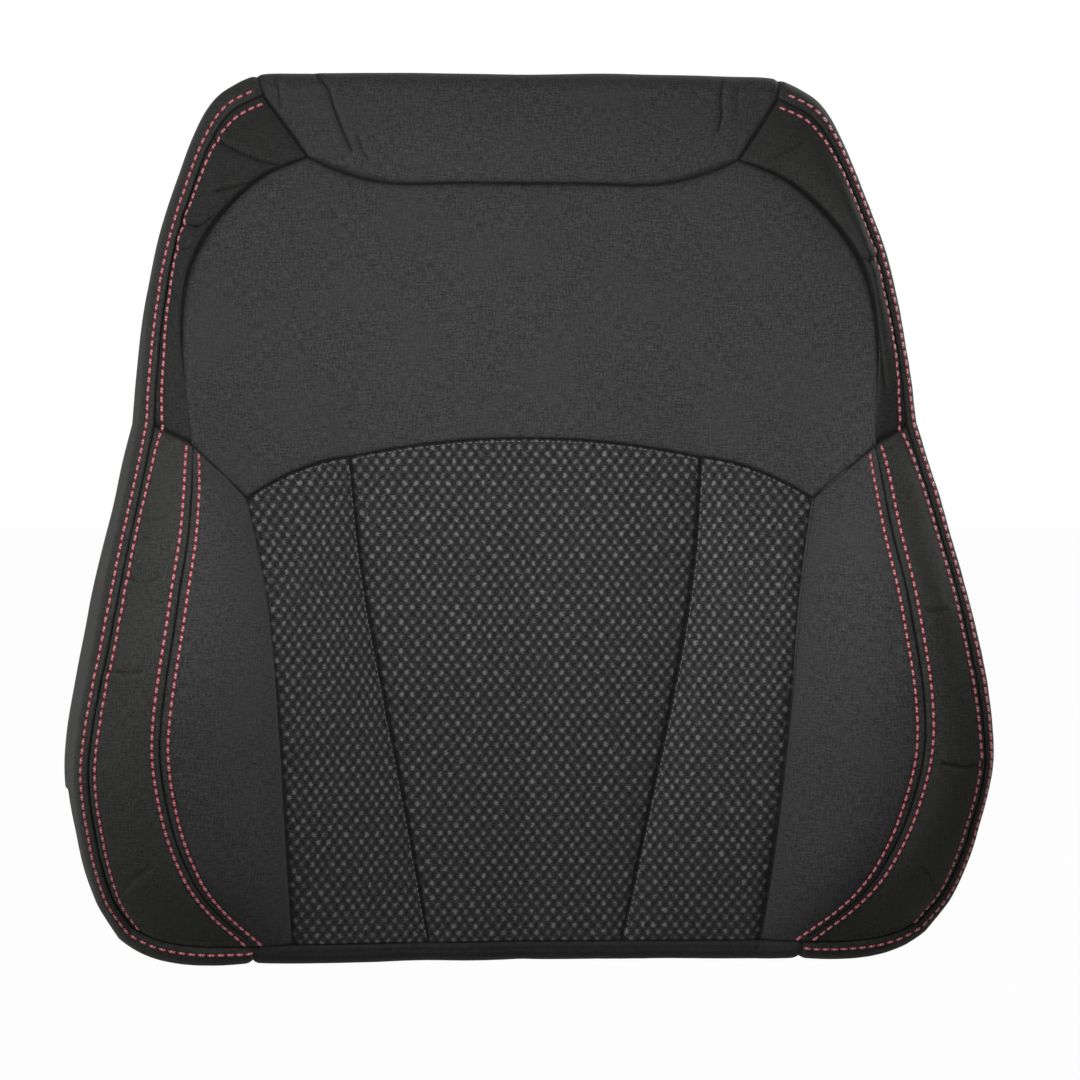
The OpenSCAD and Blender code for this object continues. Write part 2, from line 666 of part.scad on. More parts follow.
front_flange = [20, 23];            // depth of the front flange, at its foot and top
rear_flange = [66, 60];             // the same for the rear flange
function flange_share(z) = (z - flange_z) / (member_top_z - flange_z);
function rear_flange_y(z) = lerp(rear_flange[0], rear_flange[1], flange_share(z));
hoop_foot_z = member_top_z - 80;
hole_y = 43;                        // depth of the side members' lightening holes
hole_heights = [for (k = [0:3]) lerp(flange_z + 24, hoop_foot_z - 22, k / 3)];
function hole_d(z) = 26 - z / 40;
module strip(y0, y1) {
  polygon([[y0, flange_z], [y0 + sheet_t, flange_z], [y1 + sheet_t, member_top_z], [y1, member_top_z]]);
}
module side_member() {
  inner = frame_w / 2 - sheet_t;
  lobe = recliner_d / 2 + 1;
  color([0.2, 0.21, 0.22]) difference() {
    union() {
      across(inner, sheet_t) difference() {
        union() {
          translate([pivot_y, pivot_z]) circle(lobe);
          polygon([
            [pivot_y - lobe, pivot_z], [pivot_y + lobe, pivot_z],
            [rear_flange[0], flange_z], [rear_flange[1], member_top_z],
            [front_flange[1], member_top_z], [front_flange[0], flange_z]
          ]);
        }
        translate([pivot_y, pivot_z]) circle(d = shaft_d + 8);
        for (z = hole_heights) translate([hole_y, z]) circle(d = hole_d(z));
      }
      across(frame_w / 2 - flange, flange) {
        strip(front_flange[0], front_flange[1]);
        strip(rear_flange[0] - sheet_t, rear_flange[1] - sheet_t);
      }
      // Raised rings that stiffen the lightening holes
      for (z = hole_heights)
        across(inner - 3, 3.5) translate([hole_y, z]) difference() {
          circle(d = hole_d(z) + 4);
          circle(d = hole_d(z));
        }
    }
    for (z = clip_heights) translate([clip_x, rear_flange_y(z) - 5, z])
      rotate([-90, 0, 0]) cylinder(d = clip_d + 2 * seat_gap, h = 10);
  }
}
module hoop_path(d) {
  for (side = [0, 1]) mirror([side, 0, 0]) {
    translate([leg_x, hoop_y, hoop_foot_z]) cylinder(d = d, h = hoop_z - hoop_bend - hoop_foot_z);
    translate([leg_x - hoop_bend, hoop_y, hoop_z - hoop_bend]) rotate([90, 0, 0])
      rotate_extrude(angle = 90) translate([hoop_bend, 0]) circle(d = d);
  }
  translate([hoop_bend - leg_x, hoop_y, hoop_z]) rotate([0, 90, 0])
    cylinder(d = d, h = 2 * (leg_x - hoop_bend));
}
module hoop_tube() {
  color([0.2, 0.21, 0.22]) difference() {
    hoop_path(tube_d);
    hoop_path(tube_d - 2 * tube_wall);
    for (side = [-1, 1]) translate([side * leg_x, hoop_y, hoop_foot_z - 1])
      cylinder(d = tube_d - 2 * tube_wall, h = 2);
  }
}
rod_y = hoop_y + tube_d / 2 + rod_d / 2 + seat_gap;
module hanger_rod() {
  color([0.55, 0.56, 0.58])
    translate([-frame_w / 2 + 6, rod_y, rod_z]) rotate([0, 90, 0]) cylinder(d = rod_d, h = frame_w - 12);
}
mat_y = rod_y - rod_d / 2 - mat_wire_d / 2 - seat_gap;   // plane of the mat
cross_y = mat_y + mat_wire_d / 2 + 0.5;                  // front of the cross member
hook_z = cross_z + cross_h / 2;
module lower_cross_member() {
  inner = frame_w / 2 - sheet_t;
  depth = 16;
  color([0.2, 0.21, 0.22]) difference() {
    across(-inner, 2 * inner) difference() {
      translate([cross_y, cross_z]) square([depth, cross_h]);
      translate([cross_y + sheet_t, cross_z + sheet_t]) square([depth, cross_h - 2 * sheet_t]);
    }
    for (side = [-1, 1]) translate([side * mat_w / 2, cross_y - 1, hook_z])
      rotate([-90, 0, 0]) cylinder(d = mat_wire_d + 4, h = 6);
    for (x = [-60, 0, 60]) translate([x, cross_y - 1, hook_z])
      rotate([-90, 0, 0]) cylinder(d = 20, h = 6);
  }
}

// Suspension mat -----------------------------------------------------------

cross_wire_d = 2.4;
mat_foot_z = hook_z + 6;
module wire_elbow(radius, angle, d) {
  rotate_extrude(angle = angle) translate([radius, 0]) circle(d = d, $fn = 24);
}
module side_wire() {
  hook_r = rod_d / 2 + mat_wire_d / 2 + seat_gap;
  translate([0, mat_y, mat_foot_z]) cylinder(d = mat_wire_d, h = rod_z - mat_foot_z);
  translate([0, rod_y, rod_z]) rotate([0, -90, 0]) rotate([0, 0, -90]) wire_elbow(hook_r, 180, mat_wire_d);
  translate([0, mat_y + 6, mat_foot_z]) rotate([0, 90, 0]) rotate([0, 0, -90]) wire_elbow(6, 90, mat_wire_d);
  translate([0, mat_y + 6, hook_z]) rotate([-90, 0, 0]) cylinder(d = mat_wire_d, h = 8);
}
wire_pitch = (rod_z - mat_foot_z - 50) / (cross_wires - 1);
module suspension_mat() {
  color([0.6, 0.6, 0.62]) {
    for (side = [-1, 1]) translate([side * mat_w / 2, 0, 0]) side_wire();
    for (i = [0:cross_wires - 1])
      translate([-mat_w / 2 - 6, mat_y, mat_foot_z + 22 + i * wire_pitch])
        rotate([0, 90, 0]) cylinder(d = cross_wire_d, h = mat_w + 12, $fn = 24);
  }
}
// Paper cords twisted round the cross wires, which hold their spacing.
module mat_cords() {
  cord_d = 3.4;
  color([0.72, 0.6, 0.42])
    for (x = [-0.25, 0, 0.25])
      translate([x * mat_w, mat_y, mat_foot_z + 12]) difference() {
        cylinder(d = cord_d, h = rod_z - mat_foot_z - 30);
        for (i = [0:cross_wires - 1]) translate([-5, 0, 10 + i * wire_pitch])
          rotate([0, 90, 0]) cylinder(d = cross_wire_d + 0.2, h = 10, $fn = 24);
      }
}

// Headrest guides ----------------------------------------------------------

socket_y = hoop_y + tube_d / 2 + socket_d / 2 + seat_gap;
socket_z = hoop_z - 15;
cap_z = back_h - 8;
cap_h = 7.5;
cap_size = [40, 26];
button_size = [11.5, 14, 3.6];
button_x = cap_size[0] / 2 - 7.5;
module cap_shape(margin = 0) {
  r = cap_size[1] / 2 - 1;
  for (side = [-1, 1]) translate([side * (cap_size[0] / 2 - r), 0]) circle(r = r + margin);
  square([cap_size[0] - 2 * r, 2 * (r + margin)], center = true);
}
module headrest_socket() {
  color([0.2, 0.21, 0.22]) translate([guide_pitch / 2, socket_y, socket_z]) difference() {
    cylinder(d = socket_d, h = socket_l);
    translate([0, 0, -1]) cylinder(d = socket_bore, h = socket_l + 2);
  }
}
module guide_body(locking) {
  stem_d = socket_bore - 2 * seat_gap;
  difference() {
    union() {
      translate([0, 0, socket_z + 6]) cylinder(d = stem_d, h = cap_z - socket_z - 6);
      translate([0, 0, cap_z]) linear_extrude(cap_h) cap_shape();
    }
    translate([0, 0, socket_z]) cylinder(d = guide_bore, h = back_h);
    if (locking)
      translate([button_x - button_travel - 0.3, -button_size[1] / 2 - 0.2, cap_z + 1.8])
        cube([30, button_size[1] + 0.4, button_size[2] + 0.4]);
  }
}
module headrest_guide_right() {
  color([0.1, 0.1, 0.1]) translate([guide_pitch / 2, socket_y, 0]) guide_body(true);
}
module headrest_guide_left() {
  color([0.1, 0.1, 0.1]) translate([-guide_pitch / 2, socket_y, 0]) guide_body(false);
}
module guide_lock_button() {
  color([0.14, 0.14, 0.14])
    translate([guide_pitch / 2 + button_x, socket_y - button_size[1] / 2, cap_z + 2]) cube(button_size);
}
// Holes in the cover and the pad for the guides' caps and the button.
module guide_openings() {
  for (side = [-1, 1])
    translate([side * guide_pitch / 2, socket_y, cap_z - 6]) linear_extrude(20) cap_shape(0.6);
  translate([guide_pitch / 2 + button_x, socket_y - button_size[1] / 2 - 1, cap_z - 6])
    cube([button_size[0] + 1, button_size[1] + 2, 20]);
}

// Recliners ----------------------------------------------------------------

gear_x = frame_w / 2;                       // inboard face of the gear plate
base_x = gear_x + plate_t + seat_gap;       // inboard face of the base plate
ring_wall = 4;
module pivot_disc(x, d, h) {
  translate([x, pivot_y, pivot_z]) rotate([0, 90, 0]) cylinder(d = d, h = h);
}
// Plate welded to the side member. It turns with the backrest.
module recliner_gear_plate() {
  color([0.62, 0.58, 0.4]) difference() {
    pivot_disc(gear_x, recliner_d, plate_t);
    pivot_disc(gear_x - 1, shaft_d + 0.3, plate_t + 2);
  }
}
// Plate that the seat base's bracket is bolted to.
module recliner_base_plate() {
  color([0.66, 0.62, 0.44]) difference() {
    pivot_disc(base_x, recliner_d, plate_t);
    pivot_disc(base_x - 1, shaft_d + 0.2, plate_t + 2);
    for (a = [45:90:315])
      translate([base_x - 1, pivot_y + bolt_circle / 2 * cos(a), pivot_z + bolt_circle / 2 * sin(a)])
        rotate([0, 90, 0]) cylinder(d = bolt_hole, h = plate_t + 2);
  }
}
// Crimped ring that keeps the two plates together.
module recliner_ring() {
  bore = recliner_d + 0.4;
  color([0.5, 0.5, 0.52]) difference() {
    pivot_disc(gear_x + 1, recliner_d + 2 * ring_wall, 2 * plate_t + seat_gap);
    pivot_disc(gear_x, bore, 2 * (plate_t + seat_gap));
    pivot_disc(gear_x, recliner_d - 6, 2 * plate_t + 4);
  }
}
shaft_end = base_x + plate_t + 16;
module release_shaft() {
  groove = 1;
  color([0.7, 0.7, 0.72]) difference() {
    translate([-base_x - plate_t - 6, pivot_y, pivot_z]) rotate([0, 90, 0])
      cylinder(d = shaft_d, h = shaft_end + base_x + plate_t + 6);
    for (x = [-base_x - plate_t - 3, base_x + plate_t + 1])
      difference() {
        pivot_disc(x, shaft_d + 4, 1.4);
        pivot_disc(x - 1, shaft_d - groove * 2, 4);
      }
  }
}
// Spring clips in the shaft's grooves.
module shaft_clips() {
  color([0.3, 0.3, 0.32])
    for (x = [-base_x - plate_t - 2.9, base_x + plate_t + 1.1]) difference() {
      pivot_disc(x, shaft_d + 7, 1.2);
      pivot_disc(x - 1, shaft_d - 1.8, 4);
      translate([x - 1, pivot_y - 2.5, pivot_z - shaft_d - 8]) cube([4, 5, shaft_d + 8]);
    }
}

mesh_centre_panel();
mesh_side_panel(-1);  // mesh_side_panel_left
mesh_side_panel(1);  // mesh_side_panel_right
bolster_panel(-1);  // bolster_panel_left
bolster_panel(1);  // bolster_panel_right
bolster_wing(-1);  // bolster_wing_left
bolster_wing(1);  // bolster_wing_right
shoulder_yoke();
shoulder_wing(-1);  // shoulder_wing_left
shoulder_wing(1);  // shoulder_wing_right
top_panel();
left_of() side_gusset();  // side_gusset_left
side_gusset();  // side_gusset_right
bottom_flap();
foam_pad();
rear_panel();
rear_panel_clips();
left_of() side_member();  // side_member_left
side_member();  // side_member_right
hoop_tube();
hanger_rod();
lower_cross_member();
suspension_mat();
mat_cords();
left_of() headrest_socket();  // headrest_socket_left
headrest_socket();  // headrest_socket_right
headrest_guide_left();
headrest_guide_right();
guide_lock_button();
left_of() recliner_gear_plate();  // recliner_gear_plate_left
recliner_gear_plate();  // recliner_gear_plate_right
left_of() recliner_base_plate();  // recliner_base_plate_left
recliner_base_plate();  // recliner_base_plate_right
left_of() recliner_ring();  // recliner_ring_left
recliner_ring();  // recliner_ring_right
release_shaft();
shaft_clips();
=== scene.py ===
"""Looks of a sport seat's backrest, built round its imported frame.

The sewn cover, its stitching, the moulded pad and the rear panel are surfaces
worked out in millimetres from the same sizes as the solids, and are written to
meshes in metres. The steel parts keep their solids and get their finishes here.
"""

import logging
import math
from dataclasses import dataclass
from enum import Enum
from typing import Callable, Sequence

import bmesh
import bpy
import numpy as np
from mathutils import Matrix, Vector


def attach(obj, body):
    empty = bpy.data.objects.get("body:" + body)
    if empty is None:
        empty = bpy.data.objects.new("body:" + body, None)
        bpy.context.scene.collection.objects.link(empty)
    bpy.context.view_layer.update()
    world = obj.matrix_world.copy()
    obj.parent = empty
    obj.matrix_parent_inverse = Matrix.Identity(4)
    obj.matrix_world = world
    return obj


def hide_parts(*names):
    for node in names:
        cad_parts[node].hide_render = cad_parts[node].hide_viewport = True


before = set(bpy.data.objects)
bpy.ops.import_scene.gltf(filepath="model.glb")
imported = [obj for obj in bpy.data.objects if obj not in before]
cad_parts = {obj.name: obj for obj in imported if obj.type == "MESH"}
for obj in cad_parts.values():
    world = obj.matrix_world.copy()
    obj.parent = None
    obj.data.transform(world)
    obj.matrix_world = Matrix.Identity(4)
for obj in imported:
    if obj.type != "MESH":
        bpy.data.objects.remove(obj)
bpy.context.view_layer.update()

LOG = logging.getLogger("backrest")
METRE = 0.001
Array = np.ndarray
Pair = tuple[float, float]
Piece = bpy.types.Object
Material = bpy.types.Material
Colour = tuple[float, float, float]
Table = Sequence[Pair]


class Side(Enum):
    """Side of the backrest, as the sign of X."""

    LEFT = -1
    RIGHT = 1

    @property
    def label(self) -> str:
        """Name of the side as the nodes spell it."""
        return self.name.lower()

    @property
    def flip(self) -> Array:
        """Factors that bring a point drawn on the right to this side."""
        return np.array([self.value, 1, 1])


class Seam(Enum):
    """How two panels of the cover are joined."""

    NONE = "none"
    PLAIN = "plain"
    DEEP = "deep"
    TWIN = "twin"
    ROLLED = "rolled"


# Curves and grids ---------------------------------------------------------


def lerp(a: Array | float, b: Array | float, t: Array | float) -> Array | float:
    """Straight mix of a and b: a at t = 0 and b at t = 1."""
    return a + (b - a) * t


def arch(u: Array) -> Array:
    """Parabola that is 0 at u = 0 and u = 1, and 1 between them."""
    return 4 * u * (1 - u)


def ease(a: float, b: float, t: Array) -> Array:
    """Smooth step: 0 below a, 1 above b, and 3u^2 - 2u^3 between."""
    u = np.clip((t - a) / (b - a), 0, 1)
    return u * u * (3 - 2 * u)


def through(t: Array, table: Table) -> Array:
    """Cubic Hermite curve through a table, with slopes from each knot's neighbours.

    Args:
        t: places to read.
        table: rows of place and value, in rising order.

    Returns:
        The values at t, held level outside the table.
    """
    x, y = np.asarray(table, float).T
    t = np.asarray(t, float)
    i = np.clip(np.searchsorted(x, t, side="right") - 1, 0, len(x) - 2)
    before = np.maximum(np.arange(len(x)) - 1, 0)
    after = np.minimum(np.arange(len(x)) + 1, len(x) - 1)
    slope = (y[after] - y[before]) / (x[after] - x[before])
    h = x[i + 1] - x[i]
    u = np.clip((t - x[i]) / h, 0, 1)
    ends = (2 * u**3 - 3 * u**2 + 1) * y[i] + (3 * u**2 - 2 * u**3) * y[i + 1]
    return ends + (u**3 - 2 * u**2 + u) * slope[i] * h + (u**3 - u**2) * slope[i + 1] * h


def between(start: Pair, end: Pair, shares: Table) -> list[Pair]:
    """Rows of a table that lie at shares of the way between two rows."""
    return [(lerp(start[0], end[0], s), lerp(start[1], end[1], t)) for s, t in shares]


def run_length(points: Array, axis: int) -> Array:
    """Length walked along a grid's rows (axis 1) or columns (axis 0), from 0.

    Args:
        points: a grid of points.
        axis: the axis that is walked.

    Returns:
        One length for each point.
    """
    step = np.linalg.norm(np.diff(points, axis=axis), axis=-1)
    shape = list(points.shape[:-1])
    shape[axis] = 1
    return np.concatenate([np.zeros(shape), np.cumsum(step, axis=axis)], axis=axis)


def thinned(count: int, step: int) -> Array:
    """Every step-th index below count, with the last one kept."""
    kept = np.arange(0, count, step)
    return kept if kept[-1] == count - 1 else np.append(kept, count - 1)


def beside(grids: Sequence[Array]) -> Array:
    """Grids side by side, with each column that two share kept once."""
    return np.concatenate([grids[0]] + [g[:, 1:] for g in grids[1:]], 1)


def whole(left: Array, right: Array) -> Array:
    """A grid's two halves as one, where both are drawn on the right.

    Points and cloth coordinates change the sign of their first number on the
    left, and single values keep it. The centre line is the mean of both halves.

    Args:
        left: the left half, from the centre line out.
        right: the right half.

    Returns:
        The grid from the left end to the right end.
    """
    if left.ndim == 2:
        return np.concatenate([left[:, :0:-1], right], 1)
    mirror = np.ones(left.shape[-1])
    mirror[0] = -1
    middle = (left[:, :1] + right[:, :1]) / 2 * (mirror > 0)
    return np.concatenate([left[:, :0:-1] * mirror, middle, right[:, 1:]], 1)


def around(half: Array) -> Array:
    """Both halves of ring sections, closed on the first place."""
    return np.concatenate([half, half[:, -2::-1] * Side.LEFT.flip], 1)


def grid_quads(rows: int, columns: int, flipped: bool = False) -> Array:
    """Corners of a grid's quads, anticlockwise with columns to the right and rows up.

    Args:
        rows: number of rows.
        columns: number of columns.
        flipped: whether the quads run the other way.

    Returns:
        Four indices for each quad.
    """
    a = (np.arange(rows - 1)[:, None] * columns + np.arange(columns - 1)).ravel()
    quads = np.stack([a, a + 1, a + columns + 1, a + columns], 1)
    return quads[:, ::-1] if flipped else quads


def welded_normals(grids: Sequence[Array], flipped: Sequence[bool]) -> list[Array]:
    """Normals that neighbouring grids share along their common edges.

    Points that lie within two hundredths of a millimetre count as one. Each
    point's normal is the sum of the area normals of the quads round it, and on
    the centre line it has no share across.

    Args:
        grids: point grids of rows, columns and 3.
        flipped: whether each grid's quads run the other way.

    Returns:
        One grid of unit normals for each grid.
    """
    points = np.concatenate([g.reshape(-1, 3) for g in grids])
    _, same = np.unique(np.round(points * 50).astype(np.int64), axis=0, return_inverse=True)
    same = same.ravel()
    total = np.zeros((same.max() + 1, 3))
    start = 0
    for grid, turn in zip(grids, flipped):
        quads = grid_quads(*grid.shape[:2], turn) + start
        corner = points[quads]
        area = np.cross(corner[:, 2] - corner[:, 0], corner[:, 3] - corner[:, 1])
        for k in range(4):
            np.add.at(total, same[quads[:, k]], area)
        start += grid.shape[0] * grid.shape[1]
    found = total[same]
    found[np.abs(points[:, 0]) < 0.02, 0] = 0
    found /= np.maximum(np.linalg.norm(found, axis=1, keepdims=True), 1e-12)
    sizes = np.cumsum([g.shape[0] * g.shape[1] for g in grids])[:-1]
    return [n.reshape(g.shape) for n, g in zip(np.split(found, sizes), grids)]


# Meshes -------------------------------------------------------------------


class Maker:
    """Writes meshes and hands each finished piece to its body."""

    back_step = 4
    cut_sharp = 40

    def __init__(self) -> None:
        """Starts with no pieces."""
        self.count = 0

    def mesh_object(
        self,
        name: str,
        points: Array,
        faces: Sequence[Sequence[int]],
        cloth: Array | None = None,
        sharp: float = 50,
        crevice: Array | None = None,
    ) -> Piece:
        """Makes an object from points in millimetres.

        Args:
            name: name of the object and its mesh.
            points: n rows of x, y, z in millimetres.
            faces: corner indices of each face.
            cloth: n rows of cloth coordinates in millimetres, if the piece has them.
            sharp: angle in degrees above which an edge stays sharp.
            crevice: painted shade of seams and creases at each point, from 0 to 1.

        Returns:
            The object, with its place in its mesh.
        """
        mesh = bpy.data.meshes.new(name)
        mesh.from_pydata((points * METRE).tolist(), [], faces)
        if cloth is not None:
            corner = np.empty(len(mesh.loops), np.int32)
            mesh.loops.foreach_get("vertex_index", corner)
            layer = mesh.uv_layers.new(name="Cloth")
            layer.data.foreach_set("uv", (cloth[corner] * METRE).astype(np.float32).ravel())
        # Painted shade of seams and creases, kept as a point attribute for the materials.
        if crevice is not None:
            layer = mesh.attributes.new("Crevice", "FLOAT", "POINT")
            layer.data.foreach_set("value", crevice.astype(np.float32))
        mesh.shade_smooth()
        mesh.set_sharp_from_angle(angle=math.radians(sharp))
        mesh.update()
        piece = bpy.data.objects.new(name, mesh)
        bpy.context.scene.collection.objects.link(piece)
        return piece

    def shell(
        self, name: str, face: Array, back: Array, cloth: Array, crevice: Array, flipped: bool = False
    ) -> Piece:
        """Closed sheet between a fine face grid and a back grid that is thinned.

        The back keeps a few rows and columns of its grid, and each of its rim
        edges closes with one polygon to the face's edges beside it.

        Args:
            name: name of the object.
            face: face grid of rows, columns and 3, in millimetres.
            back: back grid of the same size.
            cloth: cloth coordinates of the face grid.
            crevice: painted shade of seams and creases at each point of the face.
            flipped: whether the grid's quads run the other way.

        Returns:
            The object.
        """
        rows, columns = face.shape[:2]
        keep_r, keep_c = thinned(rows, self.back_step), thinned(columns, self.back_step)
        kept = np.ix_(keep_r, keep_c)
        base, high, wide = rows * columns, len(keep_r) - 1, len(keep_c)
        faces = grid_quads(rows, columns, flipped).tolist()
        faces += (grid_quads(high + 1, wide, not flipped) + base).tolist()
        place = np.arange(base).reshape(rows, columns)
        rear = base + np.arange((high + 1) * wide).reshape(-1, wide)
        rims = ((place[0], rear[0], keep_c, False), (place[-1], rear[-1], keep_c, True),
                (place[:, 0], rear[:, 0], keep_r, True), (place[:, -1], rear[:, -1], keep_r, False))
        for front, behind, at, turn in rims:
            for k in range(len(at) - 1):
                loop = front[at[k] : at[k + 1] + 1][::-1].tolist() + behind[k : k + 2].tolist()
                faces.append(loop[::-1] if turn != flipped else loop)
        points = np.concatenate([face.reshape(-1, 3), back[kept].reshape(-1, 3)])
        coords = np.concatenate([cloth.reshape(-1, 2), cloth[kept].reshape(-1, 2)])
        # The back of the sheet gets no painted shade.
        deep = np.concatenate([crevice.ravel(), np.zeros(rear.size)])
        return self.mesh_object(name, points, faces, coords, crevice=deep)

    def closed(
        self,
        name: str,
        grids: Sequence[Array],
        flipped: Sequence[bool],
        sharp: float,
        hub: Array | None = None,
    ) -> Piece:
        """One closed mesh from grids whose common edges are joined.

        Args:
            name: name of the object.
            grids: its grids.
            flipped: whether each grid's quads run the other way.
            sharp: angle in degrees above which an edge stays sharp.
            hub: point that a fan joins to the last grid's last row, if there is one.

        Returns:
            The object, with its faces outwards.
        """
        points, faces, start = [], [], 0
        for grid, turn in zip(grids, flipped):
            points.append(grid.reshape(-1, 3))
            faces += (grid_quads(*grid.shape[:2], turn) + start).tolist()
            start += grid.shape[0] * grid.shape[1]
        if hub is not None:
            points.append(hub[None])
            faces += [[start, i, i + 1] for i in range(start - grids[-1].shape[1], start - 1)]
        piece = self.mesh_object(name, np.concatenate(points), faces, sharp=sharp)
        work = bmesh.new()
        work.from_mesh(piece.data)
        bmesh.ops.remove_doubles(work, verts=work.verts, dist=0.02 * METRE)
        bmesh.ops.recalc_face_normals(work, faces=work.faces)
        work.to_mesh(piece.data)
        work.free()
        return piece

    def prism(self, name: str, outline: Array, axis: int, low: float, high: float) -> Piece:
        """Closed prism of an outline carried straight along one axis.

        Args:
            name: name of the object.
            outline: n rows of the two other coordinates, in axis order.
            axis: 0 for X, 2 for Z.
            low: where it starts, in millimetres.
            high: where it ends.

        Returns:
            The object, with its faces outwards.
        """
        n = len(outline)
        points = np.concatenate([np.insert(outline, axis, low, 1), np.insert(outline, axis, high, 1)])
        ring = np.arange(n)
        walls = np.stack([ring, (ring + 1) % n, (ring + 1) % n + n, ring + n], 1)
        faces = walls.tolist() + [ring[::-1].tolist(), (ring + n).tolist()]
        following = np.roll(outline, -1, 0)
        if np.sum(outline[:, 0] * following[:, 1] - outline[:, 1] * following[:, 0]) < 0:
            faces = [f[::-1] for f in faces]
        return self.mesh_object(name, points, faces, sharp=30)

    def combine(self, piece: Piece, tool: Piece, how: str = "DIFFERENCE") -> None:
        """Cuts, joins or trims a piece with a tool, and bakes the result into its mesh.

        Each solver is tried in turn, until a result stays inside the box that it can't outgrow.

        Args:
            piece: the piece that changes.
            tool: the other solid.
            how: the boolean operation.
        """
        old = piece.data
        low, high = self._box(old)
        if how == "UNION":
            other = self._box(tool.data)
            low, high = np.minimum(low, other[0]), np.maximum(high, other[1])
        for solver in ("MANIFOLD", "EXACT", "FAST"):
            cut = piece.modifiers.new("cut", "BOOLEAN")
            cut.operation, cut.object, cut.solver = how, tool, solver
            graph = bpy.context.evaluated_depsgraph_get()
            mesh = bpy.data.meshes.new_from_object(
                piece.evaluated_get(graph), preserve_all_data_layers=True, depsgraph=graph
            )
            piece.modifiers.clear()
            if len(mesh.polygons) and len(mesh.polygons) != len(old.polygons):
                box = self._box(mesh)
                if (box[0] > low - METRE).all() and (box[1] < high + METRE).all():
                    break
            LOG.info("%s: the %s solver failed", piece.name, solver)
            bpy.data.meshes.remove(mesh)
        else:
            raise RuntimeError(f"no solver could cut {piece.name}")
        piece.data = mesh
        mesh.name = old.name + "_cut"
        bpy.data.meshes.remove(old)
        mesh.shade_smooth()
        mesh.set_sharp_from_angle(angle=math.radians(self.cut_sharp))

    @staticmethod
    def _box(mesh: bpy.types.Mesh) -> tuple[Array, Array]:
        """Least and greatest coordinates of a mesh.

        Args:
            mesh: the mesh.

        Returns:
            Both corners of its box.
        """
        points = np.empty(len(mesh.vertices) * 3)
        mesh.vertices.foreach_get("co", points)
        points = points.reshape(-1, 3)
        return points.min(0), points.max(0)

    def discard(self, *tools: Piece) -> None:
        """Removes tools that were only cut with."""
        for tool in tools:
            bpy.data.objects.remove(tool)

    def cut(self, piece: Piece, *tools: Piece) -> None:
        """Cuts a piece with each tool in turn, and removes the tools.

        Args:
            piece: what is cut.
            tools: the solids that cut it.
        """
        for tool in tools:
            self.combine(piece, tool)
            self.discard(tool)

    def finish(
        self,
        piece: Piece,
        material: Material,
        slot: str,
        node: str | None = None,
        fill: float | None = None,
    ) -> None:
        """Dresses a piece, sets what it rides on and hides the solid that it stands for.

        Args:
            piece: the finished piece.
            material: its material.
            slot: not used.
            node: the solid that it stands for, if there is one.
            fill: not used.
        """
        piece.data.materials.clear()
        piece.data.materials.append(material)
        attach(piece, "backrest")
        if node:
            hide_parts(node)
        self.count += 1
        LOG.info("%s: %d faces", piece.name, len(piece.data.polygons))


# Shader graphs ------------------------------------------------------------


def operator(operation: str, swapped: bool = False) -> Callable[..., "Value"]:
    """Makes a method of Value that adds the Math node of an operation.

    Args:
        operation: the Math node's operation.
        swapped: whether the other term comes first, as in a reflected operator.

    Returns:
        The method.
    """

    def apply(self: "Value", *others: "Value | float") -> "Value":
        """Adds the node and hands back its result."""
        terms = (self, *others)[:: -1 if swapped else 1]
        return self.graph.add("ShaderNodeMath", {"operation": operation}, dict(enumerate(terms)))

    return apply


class Value:
    """A shader socket that takes part in Python expressions."""

    __add__, __radd__ = operator("ADD"), operator("ADD", True)
    __sub__, __rsub__ = operator("SUBTRACT"), operator("SUBTRACT", True)
    __mul__, __rmul__ = operator("MULTIPLY"), operator("MULTIPLY", True)
    __pow__ = operator("POWER")
    sin, cos = operator("SINE"), operator("COSINE")

    def __init__(self, graph: "Graph", socket: bpy.types.NodeSocket) -> None:
        """Keeps the graph and the socket."""
        self.graph, self.socket = graph, socket

    def step(self, low: float, high: float) -> "Value":
        """Smooth step from 0 to 1.

        Args:
            low: where it starts.
            high: where it ends.

        Returns:
            The stepped value.
        """
        ends = {"From Min": low, "From Max": high, "To Min": 0.0, "To Max": 1.0}
        return self.graph.add(
            "ShaderNodeMapRange", {"interpolation_type": "SMOOTHSTEP"}, {"Value": self} | ends
        )


